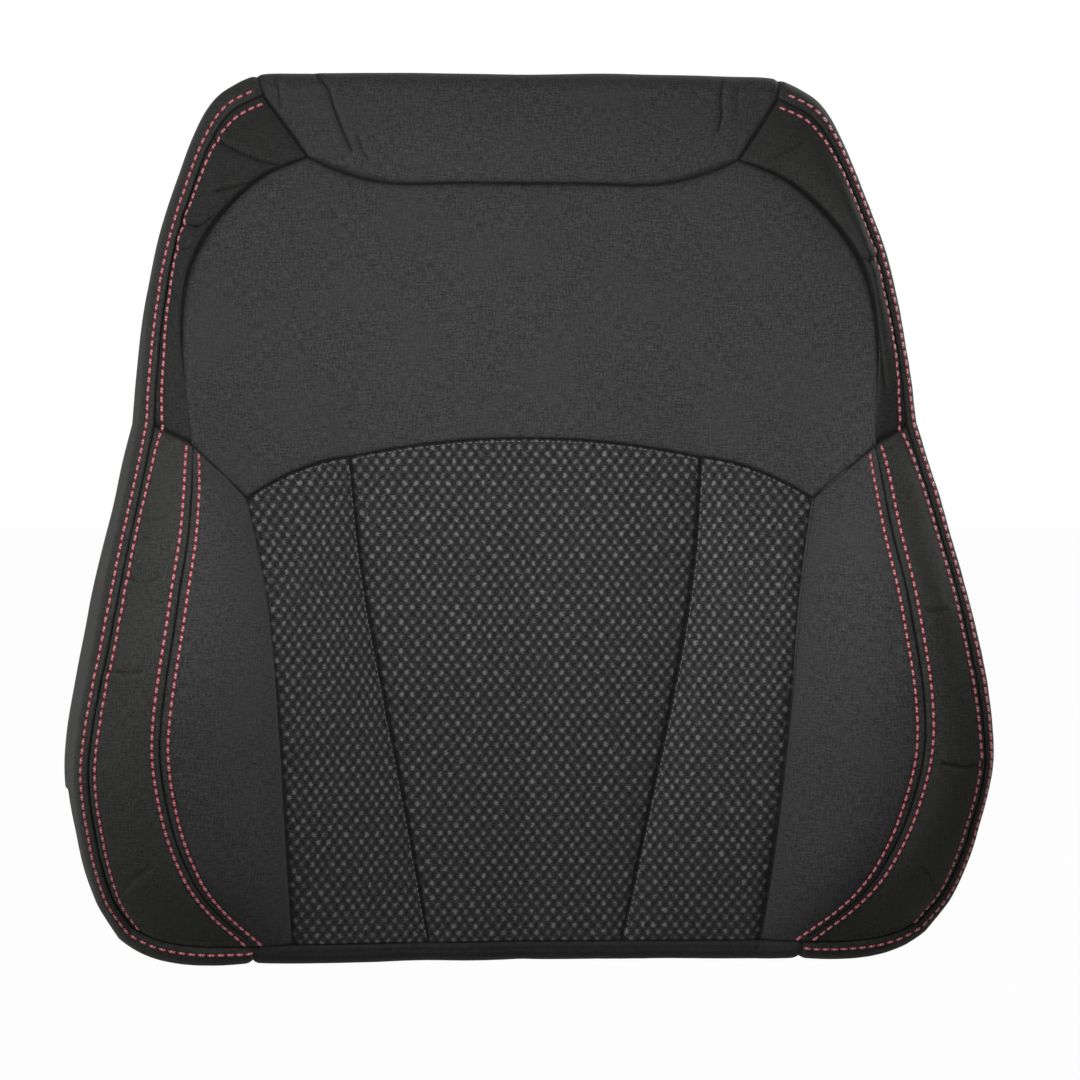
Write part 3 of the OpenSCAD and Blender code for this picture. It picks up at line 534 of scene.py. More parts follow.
class Graph:
    """Node graph of one material, or of the world."""

    def __init__(self, name: str, family: str = "materials") -> None:
        """Makes the material or the world, and clears its nodes.

        Args:
            name: its name.
            family: the list of Blender's data that it joins.
        """
        self.owner = getattr(bpy.data, family).new(name)
        self.owner.use_nodes = True
        self.tree = self.owner.node_tree
        self.tree.nodes.clear()

    def add(
        self,
        kind: str,
        settings: dict[str, object] | None = None,
        inputs: dict[str | int, object] | None = None,
        output: str | int = 0,
    ) -> Value:
        """Adds a node.

        Args:
            kind: the node's type.
            settings: its own settings.
            inputs: values or links of its sockets, by name or number.
            output: the socket that is handed back.

        Returns:
            The chosen output.
        """
        node = self.tree.nodes.new(kind)
        for key, value in (settings or {}).items():
            setattr(node, key, value)
        for key, value in (inputs or {}).items():
            self._feed(node.inputs[key], value)
        return Value(self, node.outputs[output] if node.outputs else None)

    def _feed(self, socket: bpy.types.NodeSocket, value: object) -> None:
        """Links a socket, or sets its constant, with an opaque alpha for a colour.

        Args:
            socket: an input.
            value: a Value, or a constant.
        """
        if isinstance(value, Value):
            self.tree.links.new(value.socket, socket)
        else:
            socket.default_value = (*value, 1) if socket.type == "RGBA" else value

    def split(self, vector: Value) -> list[Value]:
        """The three numbers of a vector."""
        node = self.add("ShaderNodeSeparateXYZ", {}, {0: vector}).socket.node
        return [Value(self, out) for out in node.outputs]

    def cloth(self) -> tuple[Value, Value, Value]:
        """Cloth coordinates in millimetres: across, along, and both as a vector."""
        both = self.scaled(self.add("ShaderNodeUVMap", {"uv_map": "Cloth"}), (1000, 1000, 0))
        return *self.split(both)[:2], both

    def crevice(self, colour: Value) -> Value:
        """A colour darkened by painted shade, nearly black inside seams and creases."""
        depth = self.add("ShaderNodeAttribute", {"attribute_name": "Crevice"}, {}, "Fac")
        return self.blend(colour, (0.003, 0.003, 0.003), depth * 0.93)

    def place(self) -> Value:
        """Object coordinates in millimetres."""
        return self.scaled(self.add("ShaderNodeTexCoord", {}, {}, "Object"), (1000, 1000, 1000))

    def scaled(self, vector: Value, by: tuple[float, float, float]) -> Value:
        """A vector times three numbers."""
        return self.add("ShaderNodeVectorMath", {"operation": "MULTIPLY"}, {0: vector, 1: by})

    def noise(self, vector: Value, scale: float, detail: float = 2, rough: float = 0.5) -> Value:
        """Fractal noise about 0.5, with scale features to a millimetre."""
        sizes = {"Vector": vector, "Scale": scale, "Detail": detail, "Roughness": rough}
        return self.add("ShaderNodeTexNoise", {}, sizes)

    def cells(self, vector: Value, scale: float, feature: str) -> Value:
        """Distance in a pattern of random cells.

        Args:
            vector: where it is read.
            scale: cells to a millimetre.
            feature: Blender's name of the distance.

        Returns:
            The distance.
        """
        return self.add(
            "ShaderNodeTexVoronoi", {"feature": feature}, {"Vector": vector, "Scale": scale}, "Distance"
        )

    def blend(self, a: Colour | Value, b: Colour | Value, factor: Value) -> Value:
        """Mix of two colours.

        Args:
            a: colour at 0.
            b: colour at 1.
            factor: share of b.

        Returns:
            The mixed colour.
        """
        node = self.add("ShaderNodeMix", {"data_type": "RGBA"}).socket.node
        pick = {s.identifier: s for s in node.inputs}
        for key, value in (("Factor_Float", factor), ("A_Color", a), ("B_Color", b)):
            self._feed(pick[key], value)
        return Value(self, next(s for s in node.outputs if s.identifier == "Result_Color"))

    def bump(self, height: Value, distance: float) -> Value:
        """Normal of a height that runs from 0 to 1 over distance in metres."""
        return self.add("ShaderNodeBump", {}, {"Height": height, "Distance": distance, "Strength": 1.0})

    def surface(self, **sockets: object) -> Material:
        """Closes the graph with a Principled shader.

        Args:
            sockets: the shader's sockets, with spaces written as underscores.

        Returns:
            The material.
        """
        named = {key.replace("_", " "): value for key, value in sockets.items()}
        shader = self.add("ShaderNodeBsdfPrincipled", {}, named)
        self.add("ShaderNodeOutputMaterial", {}, {"Surface": shader})
        return self.owner


# Finishes -----------------------------------------------------------------


@dataclass(frozen=True)
class WovenCloth:
    """Plain-woven seat cloth with uneven yarns."""

    name: str
    dark: Colour
    light: Colour
    tint: Colour
    slub: float = 6.0
    yarn: float = 0.95
    relief: float = 0.00035

    def make(self) -> Material:
        """Two stretched noises are the uneven yarns of weft and warp, and a fine one is the nap.

        Returns:
            The material.
        """
        g = Graph(self.name)
        across, along, both = g.cloth()
        weft = g.noise(g.scaled(both, (1 / self.slub, 1 / self.yarn, 0)), 1.0, 1.5)
        warp = g.noise(g.scaled(both, (1 / self.yarn, 1 / self.slub, 0)), 1.0, 1.5)
        nap = g.noise(both, 0.9, 3, 0.6)
        cloud = g.noise(both, 0.022, 2)
        yarns = weft * 0.5 + warp * 0.5
        tone = ((yarns - 0.5) * 1.9 + (nap - 0.5) * 1.5 + 0.5).step(0.0, 1.0)
        colour = g.blend(self.dark, self.light, tone)
        # Random tint clouds, then painted shade in seams and creases.
        colour = g.crevice(g.blend(colour, self.tint, cloud.step(0.42, 0.72) * 0.5))
        weave = (across * (math.tau / self.yarn)).sin() * (along * (math.tau / self.yarn)).sin()
        height = yarns * 0.6 + nap * 0.45 + weave * 0.1
        return g.surface(
            Base_Color=colour,
            Roughness=0.92,
            Specular_IOR_Level=0.22,
            Sheen_Weight=0.02,
            Sheen_Roughness=0.4,
            Normal=g.bump(height, self.relief),
        )


@dataclass(frozen=True)
class KnitMesh:
    """Open knitted mesh: staggered beads of yarn over dark holes."""

    name: str
    hole: Colour
    yarn: Colour
    # Colour of the painted highlight on the beads' tops.
    light: Colour
    across: float = 6.7
    down: float = 4.35
    relief: float = 0.0011

    def make(self) -> Material:
        """Beads stand where cos(2 pi x / across) cos(pi z / down) is high, alternating by row, and their tops
        carry a painted highlight.

        Returns:
            The material.
        """
        g = Graph(self.name)
        x, z, both = g.cloth()
        drift = g.noise(both, 0.035, 2)
        wobble = g.noise(both, 0.32, 2)
        fray = g.noise(g.scaled(both, (0.7, 1.2, 0)), 1.0, 2, 0.6)
        xs = x + (wobble - 0.5) * 1.9 + (drift - 0.5) * 5.0 + (fray - 0.5) * 3.0
        zs = z + (g.noise(both, 0.27, 2) - 0.5) * 1.3 + (fray - 0.5) * 1.6
        a, b = xs * (math.tau / self.across), zs * (math.pi / self.down)
        lattice = a.cos() * b.cos()
        row = b.cos() ** 2.0
        hairs = g.noise(g.scaled(both, (0.45, 1.8, 0)), 1.0, 3, 0.75)
        fuzz = g.noise(both, 1.1, 2, 0.7)
        patch = g.noise(both, 0.2, 2)
        rough = (hairs - 0.5) * 2.0 + (fuzz - 0.5) * 0.8
        body = lattice * 0.34 + row * 0.10 + rough * 0.9 + 0.50
        colour = g.blend(self.hole, self.yarn, body.step(0.12, 0.88))
        # Painted highlight: bead tops and random patches blend towards the light colour, then seams and
        # creases get painted shade.
        shine = lattice.step(0.05, 0.9) * 0.8 + (patch - 0.5) * 1.8 + rough
        colour = g.crevice(g.blend(colour, self.light, shine.step(0.25, 1.15)))
        normal = g.bump(body, self.relief)
        return g.surface(Base_Color=colour, Roughness=0.85, Specular_IOR_Level=0.25, Normal=normal)


@dataclass(frozen=True)
class Thread:
    """Twisted sewing thread."""

    name: str
    core: Colour
    # Colour of the painted shade at each stitch's ends, where it dives into the cloth.
    shadow: Colour
    # Colour of the painted highlight in each stitch's middle.
    shine: Colour

    def make(self) -> Material:
        """The twist is a sine that runs slantwise. Each stitch is palest in its middle, a painted highlight,
        and has painted shade at its ends.

        Returns:
            The material.
        """
        g = Graph(self.name)
        x, turn, _ = g.cloth()
        x, turn = x * METRE, turn * METRE
        twist = ((x * 3.0 + turn) * math.tau).sin() * 0.5 + 0.5
        middle = 1 - ((x - 0.5) * 2.0) ** 2.0
        # Painted shade towards the stitch's ends, then a painted highlight in its middle and on the twist.
        colour = g.blend(self.shadow, self.core, middle.step(0.0, 0.55))
        colour = g.blend(colour, self.shine, (middle * 0.8 + twist * 0.3).step(0.78, 1.08))
        normal = g.bump(twist, 0.00015)
        return g.surface(Base_Color=colour, Roughness=0.45, Specular_IOR_Level=0.6, Normal=normal)


@dataclass(frozen=True)
class Foam:
    """Moulded polyurethane foam with a skin and burst cells."""

    name: str
    skin: Colour
    cell: Colour

    def make(self) -> Material:
        """Small cells are a Voronoi distance, kept where a noise opens the skin.

        Returns:
            The material.
        """
        g = Graph(self.name)
        spot = g.place()
        cells = g.cells(spot, 0.55, "F1")
        opened = g.noise(spot, 0.09, 3).step(0.45, 0.7)
        pit = (1 - cells.step(0.1, 0.55)) * opened
        cloud = g.noise(spot, 0.02, 3)
        colour = g.blend(self.skin, self.cell, pit * 0.7 + cloud * 0.25)
        height = 1 - pit * 0.8 + g.noise(spot, 0.8, 2) * 0.15
        return g.surface(
            Base_Color=colour, Roughness=0.88, Subsurface_Weight=0.05, Normal=g.bump(height, 0.0006)
        )


@dataclass(frozen=True)
class GrainedPlastic:
    """Injection-moulded plastic with a pebble grain."""

    name: str
    colour: Colour
    worn: Colour
    grain: float = 0.75
    relief: float = 0.00016
    roughness: float = 0.52
    gloss: float = 0.3

    def make(self) -> Material:
        """Pebbles are a Voronoi distance to the nearest edge, with a faint cloud of scuffs.

        Returns:
            The material.
        """
        g = Graph(self.name)
        spot = g.place()
        pebble = g.cells(spot, self.grain, "DISTANCE_TO_EDGE").step(0.0, 0.22)
        fine = g.noise(spot, 1.6, 2)
        scuff = g.noise(spot, 0.045, 4, 0.6).step(0.55, 0.8)
        colour = g.blend(self.colour, self.worn, scuff * 0.5 + (fine - 0.5) * 0.3)
        rough = self.roughness + (1 - pebble) * 0.12 + scuff * 0.08
        normal = g.bump(pebble + fine * 0.25, self.relief)
        return g.surface(Base_Color=colour, Roughness=rough, Specular_IOR_Level=self.gloss, Normal=normal)


@dataclass(frozen=True)
class Metal:
    """Steel with a painted, plated or bare finish."""

    name: str
    colour: Colour
    second: Colour
    metallic: float
    roughness: float
    streak: tuple[float, float, float] = (1, 1, 1)
    relief: float = 0.00005

    def make(self) -> Material:
        """Cloudy noise varies colour and roughness, and a stretched one leaves draw marks.

        Returns:
            The material.
        """
        g = Graph(self.name)
        spot = g.place()
        cloud = g.noise(spot, 0.05, 4, 0.6)
        marks = g.noise(g.scaled(spot, self.streak), 0.9, 2)
        peel = g.noise(spot, 0.6, 2)
        colour = g.blend(self.colour, self.second, cloud.step(0.35, 0.7) * 0.8 + (marks - 0.5) * 0.4)
        rough = self.roughness + (cloud - 0.5) * 0.25 + (marks - 0.5) * 0.15
        normal = g.bump(marks * 0.6 + peel * 0.4, self.relief)
        return g.surface(Base_Color=colour, Metallic=self.metallic, Roughness=rough, Normal=normal)


@dataclass(frozen=True)
class PaperCord:
    """Twisted kraft-paper cord."""

    name: str
    light: Colour
    dark: Colour

    def make(self) -> Material:
        """The twist is a sine of height plus x, which stands in for the angle round the cord.

        Returns:
            The material.
        """
        g = Graph(self.name)
        spot = g.place()
        x, _, z = g.split(spot)
        twist = (z * (math.tau / 4.5) + x * 1.4).sin() * 0.5 + 0.5
        fibre = g.noise(g.scaled(spot, (1, 1, 0.25)), 1.2, 3)
        colour = g.blend(self.dark, self.light, (twist * 0.6 + fibre * 0.5).step(0.1, 0.9))
        return g.surface(Base_Color=colour, Roughness=0.8, Normal=g.bump(twist + fibre * 0.4, 0.0004))


FINISHES = {
    # The knit's third colour is its painted bead highlight.
    "mesh": KnitMesh("knitted_mesh", (0.0055, 0.0055, 0.0057), (0.098, 0.098, 0.098), (0.34, 0.34, 0.336)),
    "plain": WovenCloth("plain_weave", (0.019, 0.019, 0.0195), (0.073, 0.073, 0.073), (0.050, 0.050, 0.049)),
    "wing": WovenCloth("wing_weave", (0.018, 0.0185, 0.0175), (0.066, 0.067, 0.063), (0.046, 0.049, 0.042)),
    # The shoulder wings get a darker copy of the same woven cloth, which is painted shade for wings that turn
    # away from the light.
    "shoulder": WovenCloth(
        "shoulder_weave", (0.011, 0.0112, 0.011), (0.041, 0.0413, 0.040), (0.029, 0.030, 0.0275)
    ),
    "flap": WovenCloth(
        "flap_weave", (0.020, 0.020, 0.020), (0.045, 0.045, 0.045), (0.035, 0.035, 0.035), 9.0, 1.6
    ),
    # Each thread: core colour, painted shade at the stitch ends, painted highlight in the middle.
    "red": Thread("red_thread", (0.40, 0.040, 0.065), (0.12, 0.005, 0.012), (0.80, 0.42, 0.42)),
    "grey": Thread("grey_thread", (0.16, 0.16, 0.16), (0.05, 0.05, 0.05), (0.36, 0.36, 0.36)),
    "foam": Foam("moulded_foam", (0.62, 0.55, 0.36), (0.38, 0.31, 0.17)),
    "panel": GrainedPlastic("panel_plastic", (0.014, 0.014, 0.0145), (0.030, 0.030, 0.031)),
    "guide": GrainedPlastic(
        "guide_plastic", (0.012, 0.012, 0.012), (0.028, 0.028, 0.028), 1.4, 0.00008, 0.62, 0.15
    ),
    "button": GrainedPlastic(
        "button_plastic", (0.020, 0.020, 0.021), (0.045, 0.045, 0.045), 1.8, 0.00006, 0.55, 0.2
    ),
    "clip": GrainedPlastic("clip_plastic", (0.70, 0.68, 0.58), (0.55, 0.52, 0.42), 1.0, 0.00005, 0.45),
    "paint": Metal(
        "frame_paint", (0.016, 0.0165, 0.018), (0.028, 0.029, 0.031), 0.0, 0.42, (1, 1, 0.1), 0.00009
    ),
    "wire": Metal("wire_steel", (0.50, 0.50, 0.51), (0.36, 0.36, 0.37), 1.0, 0.34, (0.2, 1, 1)),
    "plated": Metal("plated_steel", (0.62, 0.56, 0.38), (0.54, 0.53, 0.45), 1.0, 0.36),
    "ring": Metal("ring_steel", (0.42, 0.43, 0.45), (0.30, 0.31, 0.33), 1.0, 0.3, (0.15, 1, 1)),
    "shaft": Metal("shaft_steel", (0.60, 0.60, 0.61), (0.45, 0.45, 0.47), 1.0, 0.28, (0.1, 1, 1)),
    "spring": Metal("clip_steel", (0.10, 0.10, 0.11), (0.05, 0.05, 0.055), 0.9, 0.4),
    "cord": PaperCord("paper_cord", (0.52, 0.38, 0.21), (0.26, 0.17, 0.08)),
}
Materials = dict[str, Material]


# Shape of the cover -------------------------------------------------------


@dataclass(frozen=True)
class CoverShape:
    """Seams and panels of the cover, in millimetres.

    A flat node is x, z and the rise in front of the centre line's surface.
    """

    back_w: float = 550
    back_h: float = 534
    base_w: float = 412
    waist_w: float = 460
    shoulder_w: float = 412
    top_w: float = 312
    widest_z: float = 125
    waist_z: float = 322
    shoulder_z: float = 468
    cover_t: float = 5
    centre_top_w: float = 211
    centre_foot_w: float = 116
    mesh_top_w: float = 338
    mesh_foot_w: float = 280
    mesh_corner_z: float = 279
    arch_z: float = 314
    crest_w: float = 454
    crest_foot_w: float = 330
    yoke_w: float = 416
    yoke_top_w: float = 260
    collar_z: float = 467
    bolster_rise: float = 80
    lumbar: float = 16
    rear_y: float = 84
    seam_in: float = 8
    roll_top: float = 14
    roll_foot: float = 12
    roll_depth: float = 16
    cols: tuple[int, ...] = (0, 4, 7, 11, 14)
    bulges: tuple[float, ...] = (3, 4.5, 0, 0)
    crowns: tuple[float, ...] = (2, 3, 13, 7)
    foot_round: Pair = (3.5, 14.5)
    arch_drop: float = 11
    centre_blunt: float = 0.14
    collar_lift: float = 15.5
    collar_level: float = 0.54
    yoke_crown: float = 5
    shoulder_crown: float = 7
    top_crown: float = 3

    @property
    def seam_z(self) -> float:
        """Height of the outer seam along the top edge."""
        return self.back_h - self.roll_top

    @property
    def widest_x(self) -> float:
        """Half width of the outer seam at the widest point."""
        return self.back_w / 2 - self.seam_in

    @property
    def waist_x(self) -> float:
        """Half width of the outer seam at the waist."""
        return self.waist_w / 2 - self.seam_in / 2

    @property
    def shoulder_x(self) -> float:
        """Half width of the outer seam at the shoulders."""
        return self.shoulder_w / 2 - self.seam_in

    @property
    def crest_top(self) -> Pair:
        """Width between the crests' tops, and their height."""
        return self.crest_w - 47, self.waist_z - 11

    @property
    def collar_corner(self) -> Pair:
        """Place where the yoke, the top panel and the shoulder wing meet."""
        return self.yoke_top_w / 2, self.collar_z + self.collar_lift

    def centre_depth(self, z: Array) -> Array:
        """Forward depth of the cover on the centre line.

        Args:
            z: heights.

        Returns:
            Depths.
        """
        curve = [
            (0, 0), (0.11, 0.5), (0.32, 1), (0.47, 0.62), (0.59, 0.25), (0.73, 0), (0.87, -0.3), (1, -0.8)
        ]
        return self.lumbar * through(z / self.back_h, curve)

    def outer_low(self, z: Array) -> Array:
        """Half width of the outer seam below the waist.

        Args:
            z: heights.

        Returns:
            Half widths.
        """
        base, wide, waist = (0, self.base_w / 2), (self.widest_z, self.widest_x), (self.waist_z, self.waist_x)
        foot = [(self.roll_foot + 12, base[1] + 31)]
        rising = between(base, wide, [(0.34, 0.72), (0.62, 0.9), (1, 1)])
        return through(z, foot + rising + between(wide, waist, [(0.42, 0.35), (0.77, 0.74), (1, 1)]))

    def outer_high(self, z: Array) -> Array:
        """Half width of the outer seam above the waist.

        Args:
            z: heights.

        Returns:
            Half widths.
        """
        waist, shoulder = (self.waist_z, self.waist_x), (self.shoulder_z, self.shoulder_x)
        low = between(waist, shoulder, [(0, 0), (0.2, 0.08), (0.48, 0.27), (0.76, 0.58), (1, 1)])
        head = (self.seam_z, self.top_w / 2)
        return through(z, low + between(shoulder, head, [(0.47, 0.25), (0.8, 0.55), (1, 1)]))

    def seam(self, number: int, v: Array) -> Array:
        """Flat nodes of one of the lower band's five seams.

        Args:
            number: 0 for the centre line, up to 4 for the outer seam.
            v: shares from the foot to the top of the band.

        Returns:
            One flat node for each share.
        """
        foot, head = self.roll_foot, self.arch_z
        if number == 0:
            x, rise = 0 * v, 0 * v
        elif number == 1:
            share = through(v, [(0, 0), (0.33, 0.38), (0.52, 0.61), (0.78, 0.88), (1, 1)])
            x, rise = lerp(self.centre_foot_w, self.centre_top_w, share) / 2, 0.05 + 0 * v
            head = self.arch_z - self.arch_drop
        elif number == 2:
            share = through(v, [(0, 0), (0.2, 0.17), (0.45, 0.35), (0.76, 0.62), (1, 1)])
            x = lerp(self.mesh_foot_w, self.mesh_top_w, share) / 2
            rise = through(v, [(0, 0.15), (0.3, 0.35), (0.68, 0.43), (1, 0.3)])
            head = self.mesh_corner_z
        elif number == 3:
            low, wide, (top, head) = self.crest_foot_w, self.crest_w, self.crest_top
            widths = [
                (at, lerp(low, wide, s)) for at, s in ((0, 0), (0.07, 0.39), (0.14, 0.65), (0.26, 0.885))
            ]
            widths += [(at, lerp(top, wide, s)) for at, s in ((0.42, 1), (0.68, 0.57), (0.83, 0.23), (1, 0))]
            x = through(v, widths) / 2
            rise = through(v, [(0, 0.3), (0.16, 0.65), (0.4, 0.93), (0.68, 1), (0.9, 0.78), (1, 0.6)])
        else:
            foot, head = foot + 12, self.waist_z
            x = self.outer_low(lerp(foot, head, v))
            rise = through(v, [(0, 0.2), (0.16, 0.5), (0.35, 0.72), (0.64, 0.78), (0.84, 0.62), (1, 0.45)])
        return np.stack([x, lerp(foot, head, v), rise * self.bolster_rise], -1)

    def low(self, panel: int, u: Array, v: Array) -> Array:
        """Flat nodes between two seams of the lower band.

        The straight mix of the seams at u gains an arch up the band's top, a
        crown that fades at both ends, and a rounded foot on the wing.

        Args:
            panel: number of the panel, from the centre line out.
            u: shares from its inner to its outer seam.
            v: shares up the band.

        Returns:
            One flat node for each pair.
        """
        if panel == 0:
            soft = self.centre_blunt
            u = (np.sqrt(u * u + soft * soft) - soft) / (math.sqrt(1 + soft * soft) - soft)
        n = lerp(self.seam(panel, v), self.seam(panel + 1, v), u[..., None])
        foot = (1 - v) ** 8
        n[..., 1] += self.bulges[panel] * arch(u) * v * v
        if panel == 3:
            n[..., 0] += self.foot_round[0] * arch(u) * foot
            n[..., 1] -= self.foot_round[1] * u * (1 - u * u) * foot
        n[..., 2] += self.crowns[panel] * arch(u) * (1 - (2 * v - 1) ** 6)
        return n

    def yoke_side(self, v: Array) -> Array:
        """Flat nodes of the seam between the yoke and the shoulder wing.

        Args:
            v: shares from the arch to the top panel.

        Returns:
            Flat nodes.
        """
        share = np.sin(math.pi / 2 * v)
        half, (crest_w, crest_z) = self.yoke_w / 2, self.crest_top
        inset = ((0.34, 0), (0.55, 2.5), (0.69, 12), (0.83, 30), (0.94, 53))
        waist = [(place, half - drop) for place, drop in inset]
        x = through(share, [(0, crest_w / 2), *waist, (1, self.yoke_top_w / 2)])
        z = lerp(crest_z, self.collar_corner[1], share)
        y = through(
            share, [(0, 0.6), (0.2, 0.5), (0.4, 0.4), (0.6, 0.3), (0.78, 0.2), (0.9, 0.14), (1, 0.075)]
        )
        return np.stack([x, z, y * self.bolster_rise], -1)

    def outer_side(self, v: Array) -> Array:
        """Flat nodes of the outer seam above the waist.

        Args:
            v: shares from the waist to the top panel.

        Returns:
            Flat nodes.
        """
        share = np.sin(math.pi / 2 * v)
        z = lerp(self.waist_z, self.seam_z, share)
        y = through(share, [(0, 0.45), (0.35, 0.27), (0.55, 0.17), (0.74, 0.09), (0.86, 0.04), (1, 0)])
        return np.stack([self.outer_high(z), z, y * self.bolster_rise], -1)

    def collar(self, u: Array) -> Array:
        """Flat nodes of the seam between the yoke and the top panel.

        Args:
            u: shares from the centre line out.

        Returns:
            Flat nodes.
        """
        corner_x, corner_z = self.collar_corner
        end = np.maximum(0, (u - self.collar_level) / (1 - self.collar_level))
        z = self.collar_z + (corner_z - self.collar_z) * end * end
        return np.stack([corner_x * u, z, 0.075 * self.bolster_rise * end], -1)

    def yoke(self, foot: Array, u: Array, v: Array) -> Array:
        """Coons patch of the yoke over its foot row, with a crown.

        Above the foot the rows turn smooth: the difference between the foot and
        its smooth curve comes in over the first third and fades to the collar.
        The crown follows 4 u^2 (1 - u^2), which is level at the centre line.

        Args:
            foot: the arch seam's flat nodes, one for each column.
            u: share from the centre line to the side seam, one for each column.
            v: share up the yoke, one for each row.

        Returns:
            Flat nodes by row and column.
        """
        top, side = self.collar(u), self.yoke_side(v)
        share = np.sin(math.pi / 2 * v)
        middle = np.stack([0 * v, lerp(foot[0, 1], self.collar_z, share), 0 * v], -1)
        uu, vv = u[None, :, None], v[:, None, None]
        patch = lerp(foot[None], top[None], vv) + lerp(middle[:, None], side[:, None], uu)
        patch = patch - lerp(lerp(foot[0], foot[-1], uu), lerp(top[0], top[-1], uu), vv)
        patch = patch + (self._smoothed(foot, u) - foot) * ((1 - v) * ease(0, 0.3, v))[:, None, None]
        patch[..., 2] += (self.yoke_crown * arch(u * u))[None, :] * np.sin(math.pi * v)[:, None]
        return patch

    @staticmethod
    def _smoothed(foot: Array, u: Array) -> Array:
        """Least-squares curve with the foot's ends: odd powers of u for x, even ones for the rest.

        Args:
            foot: nodes of the yoke's first row.
            u: their shares.

        Returns:
            The curve's nodes.
        """
        curve = np.empty_like(foot)
        for k, (a, b, c) in enumerate(((1, 3, 5), (2, 4, 6), (2, 4, 6))):
            plain = lerp(foot[0, k], foot[-1, k], u**c)
            basis = np.stack([u**a - u**c, u**b - u**c], 1)
            curve[:, k] = plain + basis @ np.linalg.lstsq(basis, foot[:, k] - plain, rcond=None)[0]
        return curve

    def shoulder(self, u: Array, v: Array) -> Array:
        """Flat nodes between the yoke's seam and the outer seam, with a crown.

        Args:
            u: shares across, row by row.
            v: shares up.

        Returns:
            A flat grid.
        """
        n = lerp(self.yoke_side(v)[:, None], self.outer_side(v)[:, None], u[..., None])
        n[..., 2] += self.shoulder_crown * arch(u) * np.sin(math.pi * v)[:, None]
        return n

    def top(self, u: Array, v: Array) -> Array:
        """Flat nodes of the top panel's front, which turns to its side seam with u^4.

        Args:
            u: share from the centre line to the side, one for each column.
            v: share from the collar to the outer seam, one for each row.

        Returns:
            Flat nodes by row and column.
        """
        corner = np.array([self.top_w / 2, self.seam_z, 0.0])
        edge = np.stack([corner[0] * u, 0 * u + corner[1], 0 * u], -1)[None]
        side = lerp(self.collar(np.ones(1)), corner, v[:, None])
        n = lerp(self.collar(u)[None], edge, v[:, None, None])
        pull = (u**4)[None]
        n[..., 0] = lerp(n[..., 0], side[:, :1] * u[None], pull)
        n[..., 1] = lerp(n[..., 1], side[:, 1:2], pull)
        n[..., 2] += (self.top_crown * arch(v))[:, None] * (1 - u**2)[None]
        n[..., -1, 2] = side[:, 2]
        return n

    def laid(self, flat: Array, level: float) -> Array:
        """Points of the cover over flat nodes: level 0 is its face and 1 its back."""
        y = -(self.centre_depth(flat[..., 1]) + flat[..., 2]) + level * self.cover_t
        return np.stack([flat[..., 0], y, flat[..., 1]], -1)


@dataclass(frozen=True)
class Stage:
    """Grid lines of the whole right half, shared by every panel.

    Each panel has fine columns near its seams, spaced in millimetres, and even
    columns between them. Rows are spaced the same way over each band's length.
    """

    shape: CoverShape
    fine: tuple[float, ...] = (0, 0.3, 0.6, 0.95, 1.35, 1.9, 2.5, 3.3, 4.1, 4.8, 5.5, 6.3, 7.5)
    even: tuple[int, ...] = (56, 40, 44, 58)
    low_lines: int = 240
    high_lines: int = 196
    low_length: float = 300
    high_length: float = 190
    ring_window: float = 12

    def _shares(self, panel: int, width: Array) -> Array:
        """Column shares for a panel whose width is given row by row.

        Args:
            panel: number of the panel.
            width: its widths.

        Returns:
            Shares, row by row.
        """
        near = np.array(self.fine)[None] / width[:, None]
        start = near if panel else np.zeros((len(width), 1))
        middle = np.linspace(0, 1, self.even[panel] + 2)[None, 1:-1]
        return np.concatenate([start, lerp(start[:, -1:], 1 - near[:, -1:], middle), 1 - near[:, ::-1]], 1)

    def _rows(self, count: int, length: float) -> Array:
        """Row shares of a band of that length, with fine rows at both ends."""
        near = np.array(self.fine) / length
        return np.concatenate([near, np.linspace(near[-1], 1 - near[-1], count)[1:-1], 1 - near[::-1]])

    def low_band(self) -> tuple[list[Array], list[Array]]:
        """Flat grids and column shares of the four lower panels.

        Returns:
            The grids, and the shares.
        """
        v = self._rows(self.low_lines, self.low_length)[:, None]
        probe = np.linspace(0, 1, 25)[None, :]
        grids, shares = [], []
        for panel in range(4):
            line = self.shape.laid(self.shape.low(panel, probe + 0 * v, v + 0 * probe), 0)
            u = self._shares(panel, run_length(line, 1)[:, -1])
            shares.append(u)
            grids.append(self.shape.low(panel, u, v + 0 * u))
        return grids, shares

    def high_band(self, low: list[Array], shares: list[Array]) -> tuple[Array, Array, Array, Array]:
        """Grids of the upper band, whose rows follow the arcsine of the even ones.

        Args:
            low: flat grids of the lower panels.
            shares: their column shares.

        Returns:
            Flat grids of the yoke and the shoulder wing, and the column shares of both.
        """
        shape, cols = self.shape, self.shape.cols
        v = np.arcsin(self._rows(self.high_lines, self.high_length)) * 2 / math.pi
        steps = [lerp(cols[s], cols[s + 1], shares[s][-1])[None] for s in range(3)]
        u = beside(steps)[0] / cols[3]
        side, outer = shape.laid(shape.yoke_side(v), 0), shape.laid(shape.outer_side(v), 0)
        wing_u = self._shares(3, np.linalg.norm(side - outer, axis=1))
        wing_u = wing_u + (shares[3][-1] - wing_u[0])[None] * (1 - ease(0, 0.25, v))[:, None]
        return shape.yoke(beside(low[:3])[-1], u, v), shape.shoulder(wing_u, v), u, wing_u


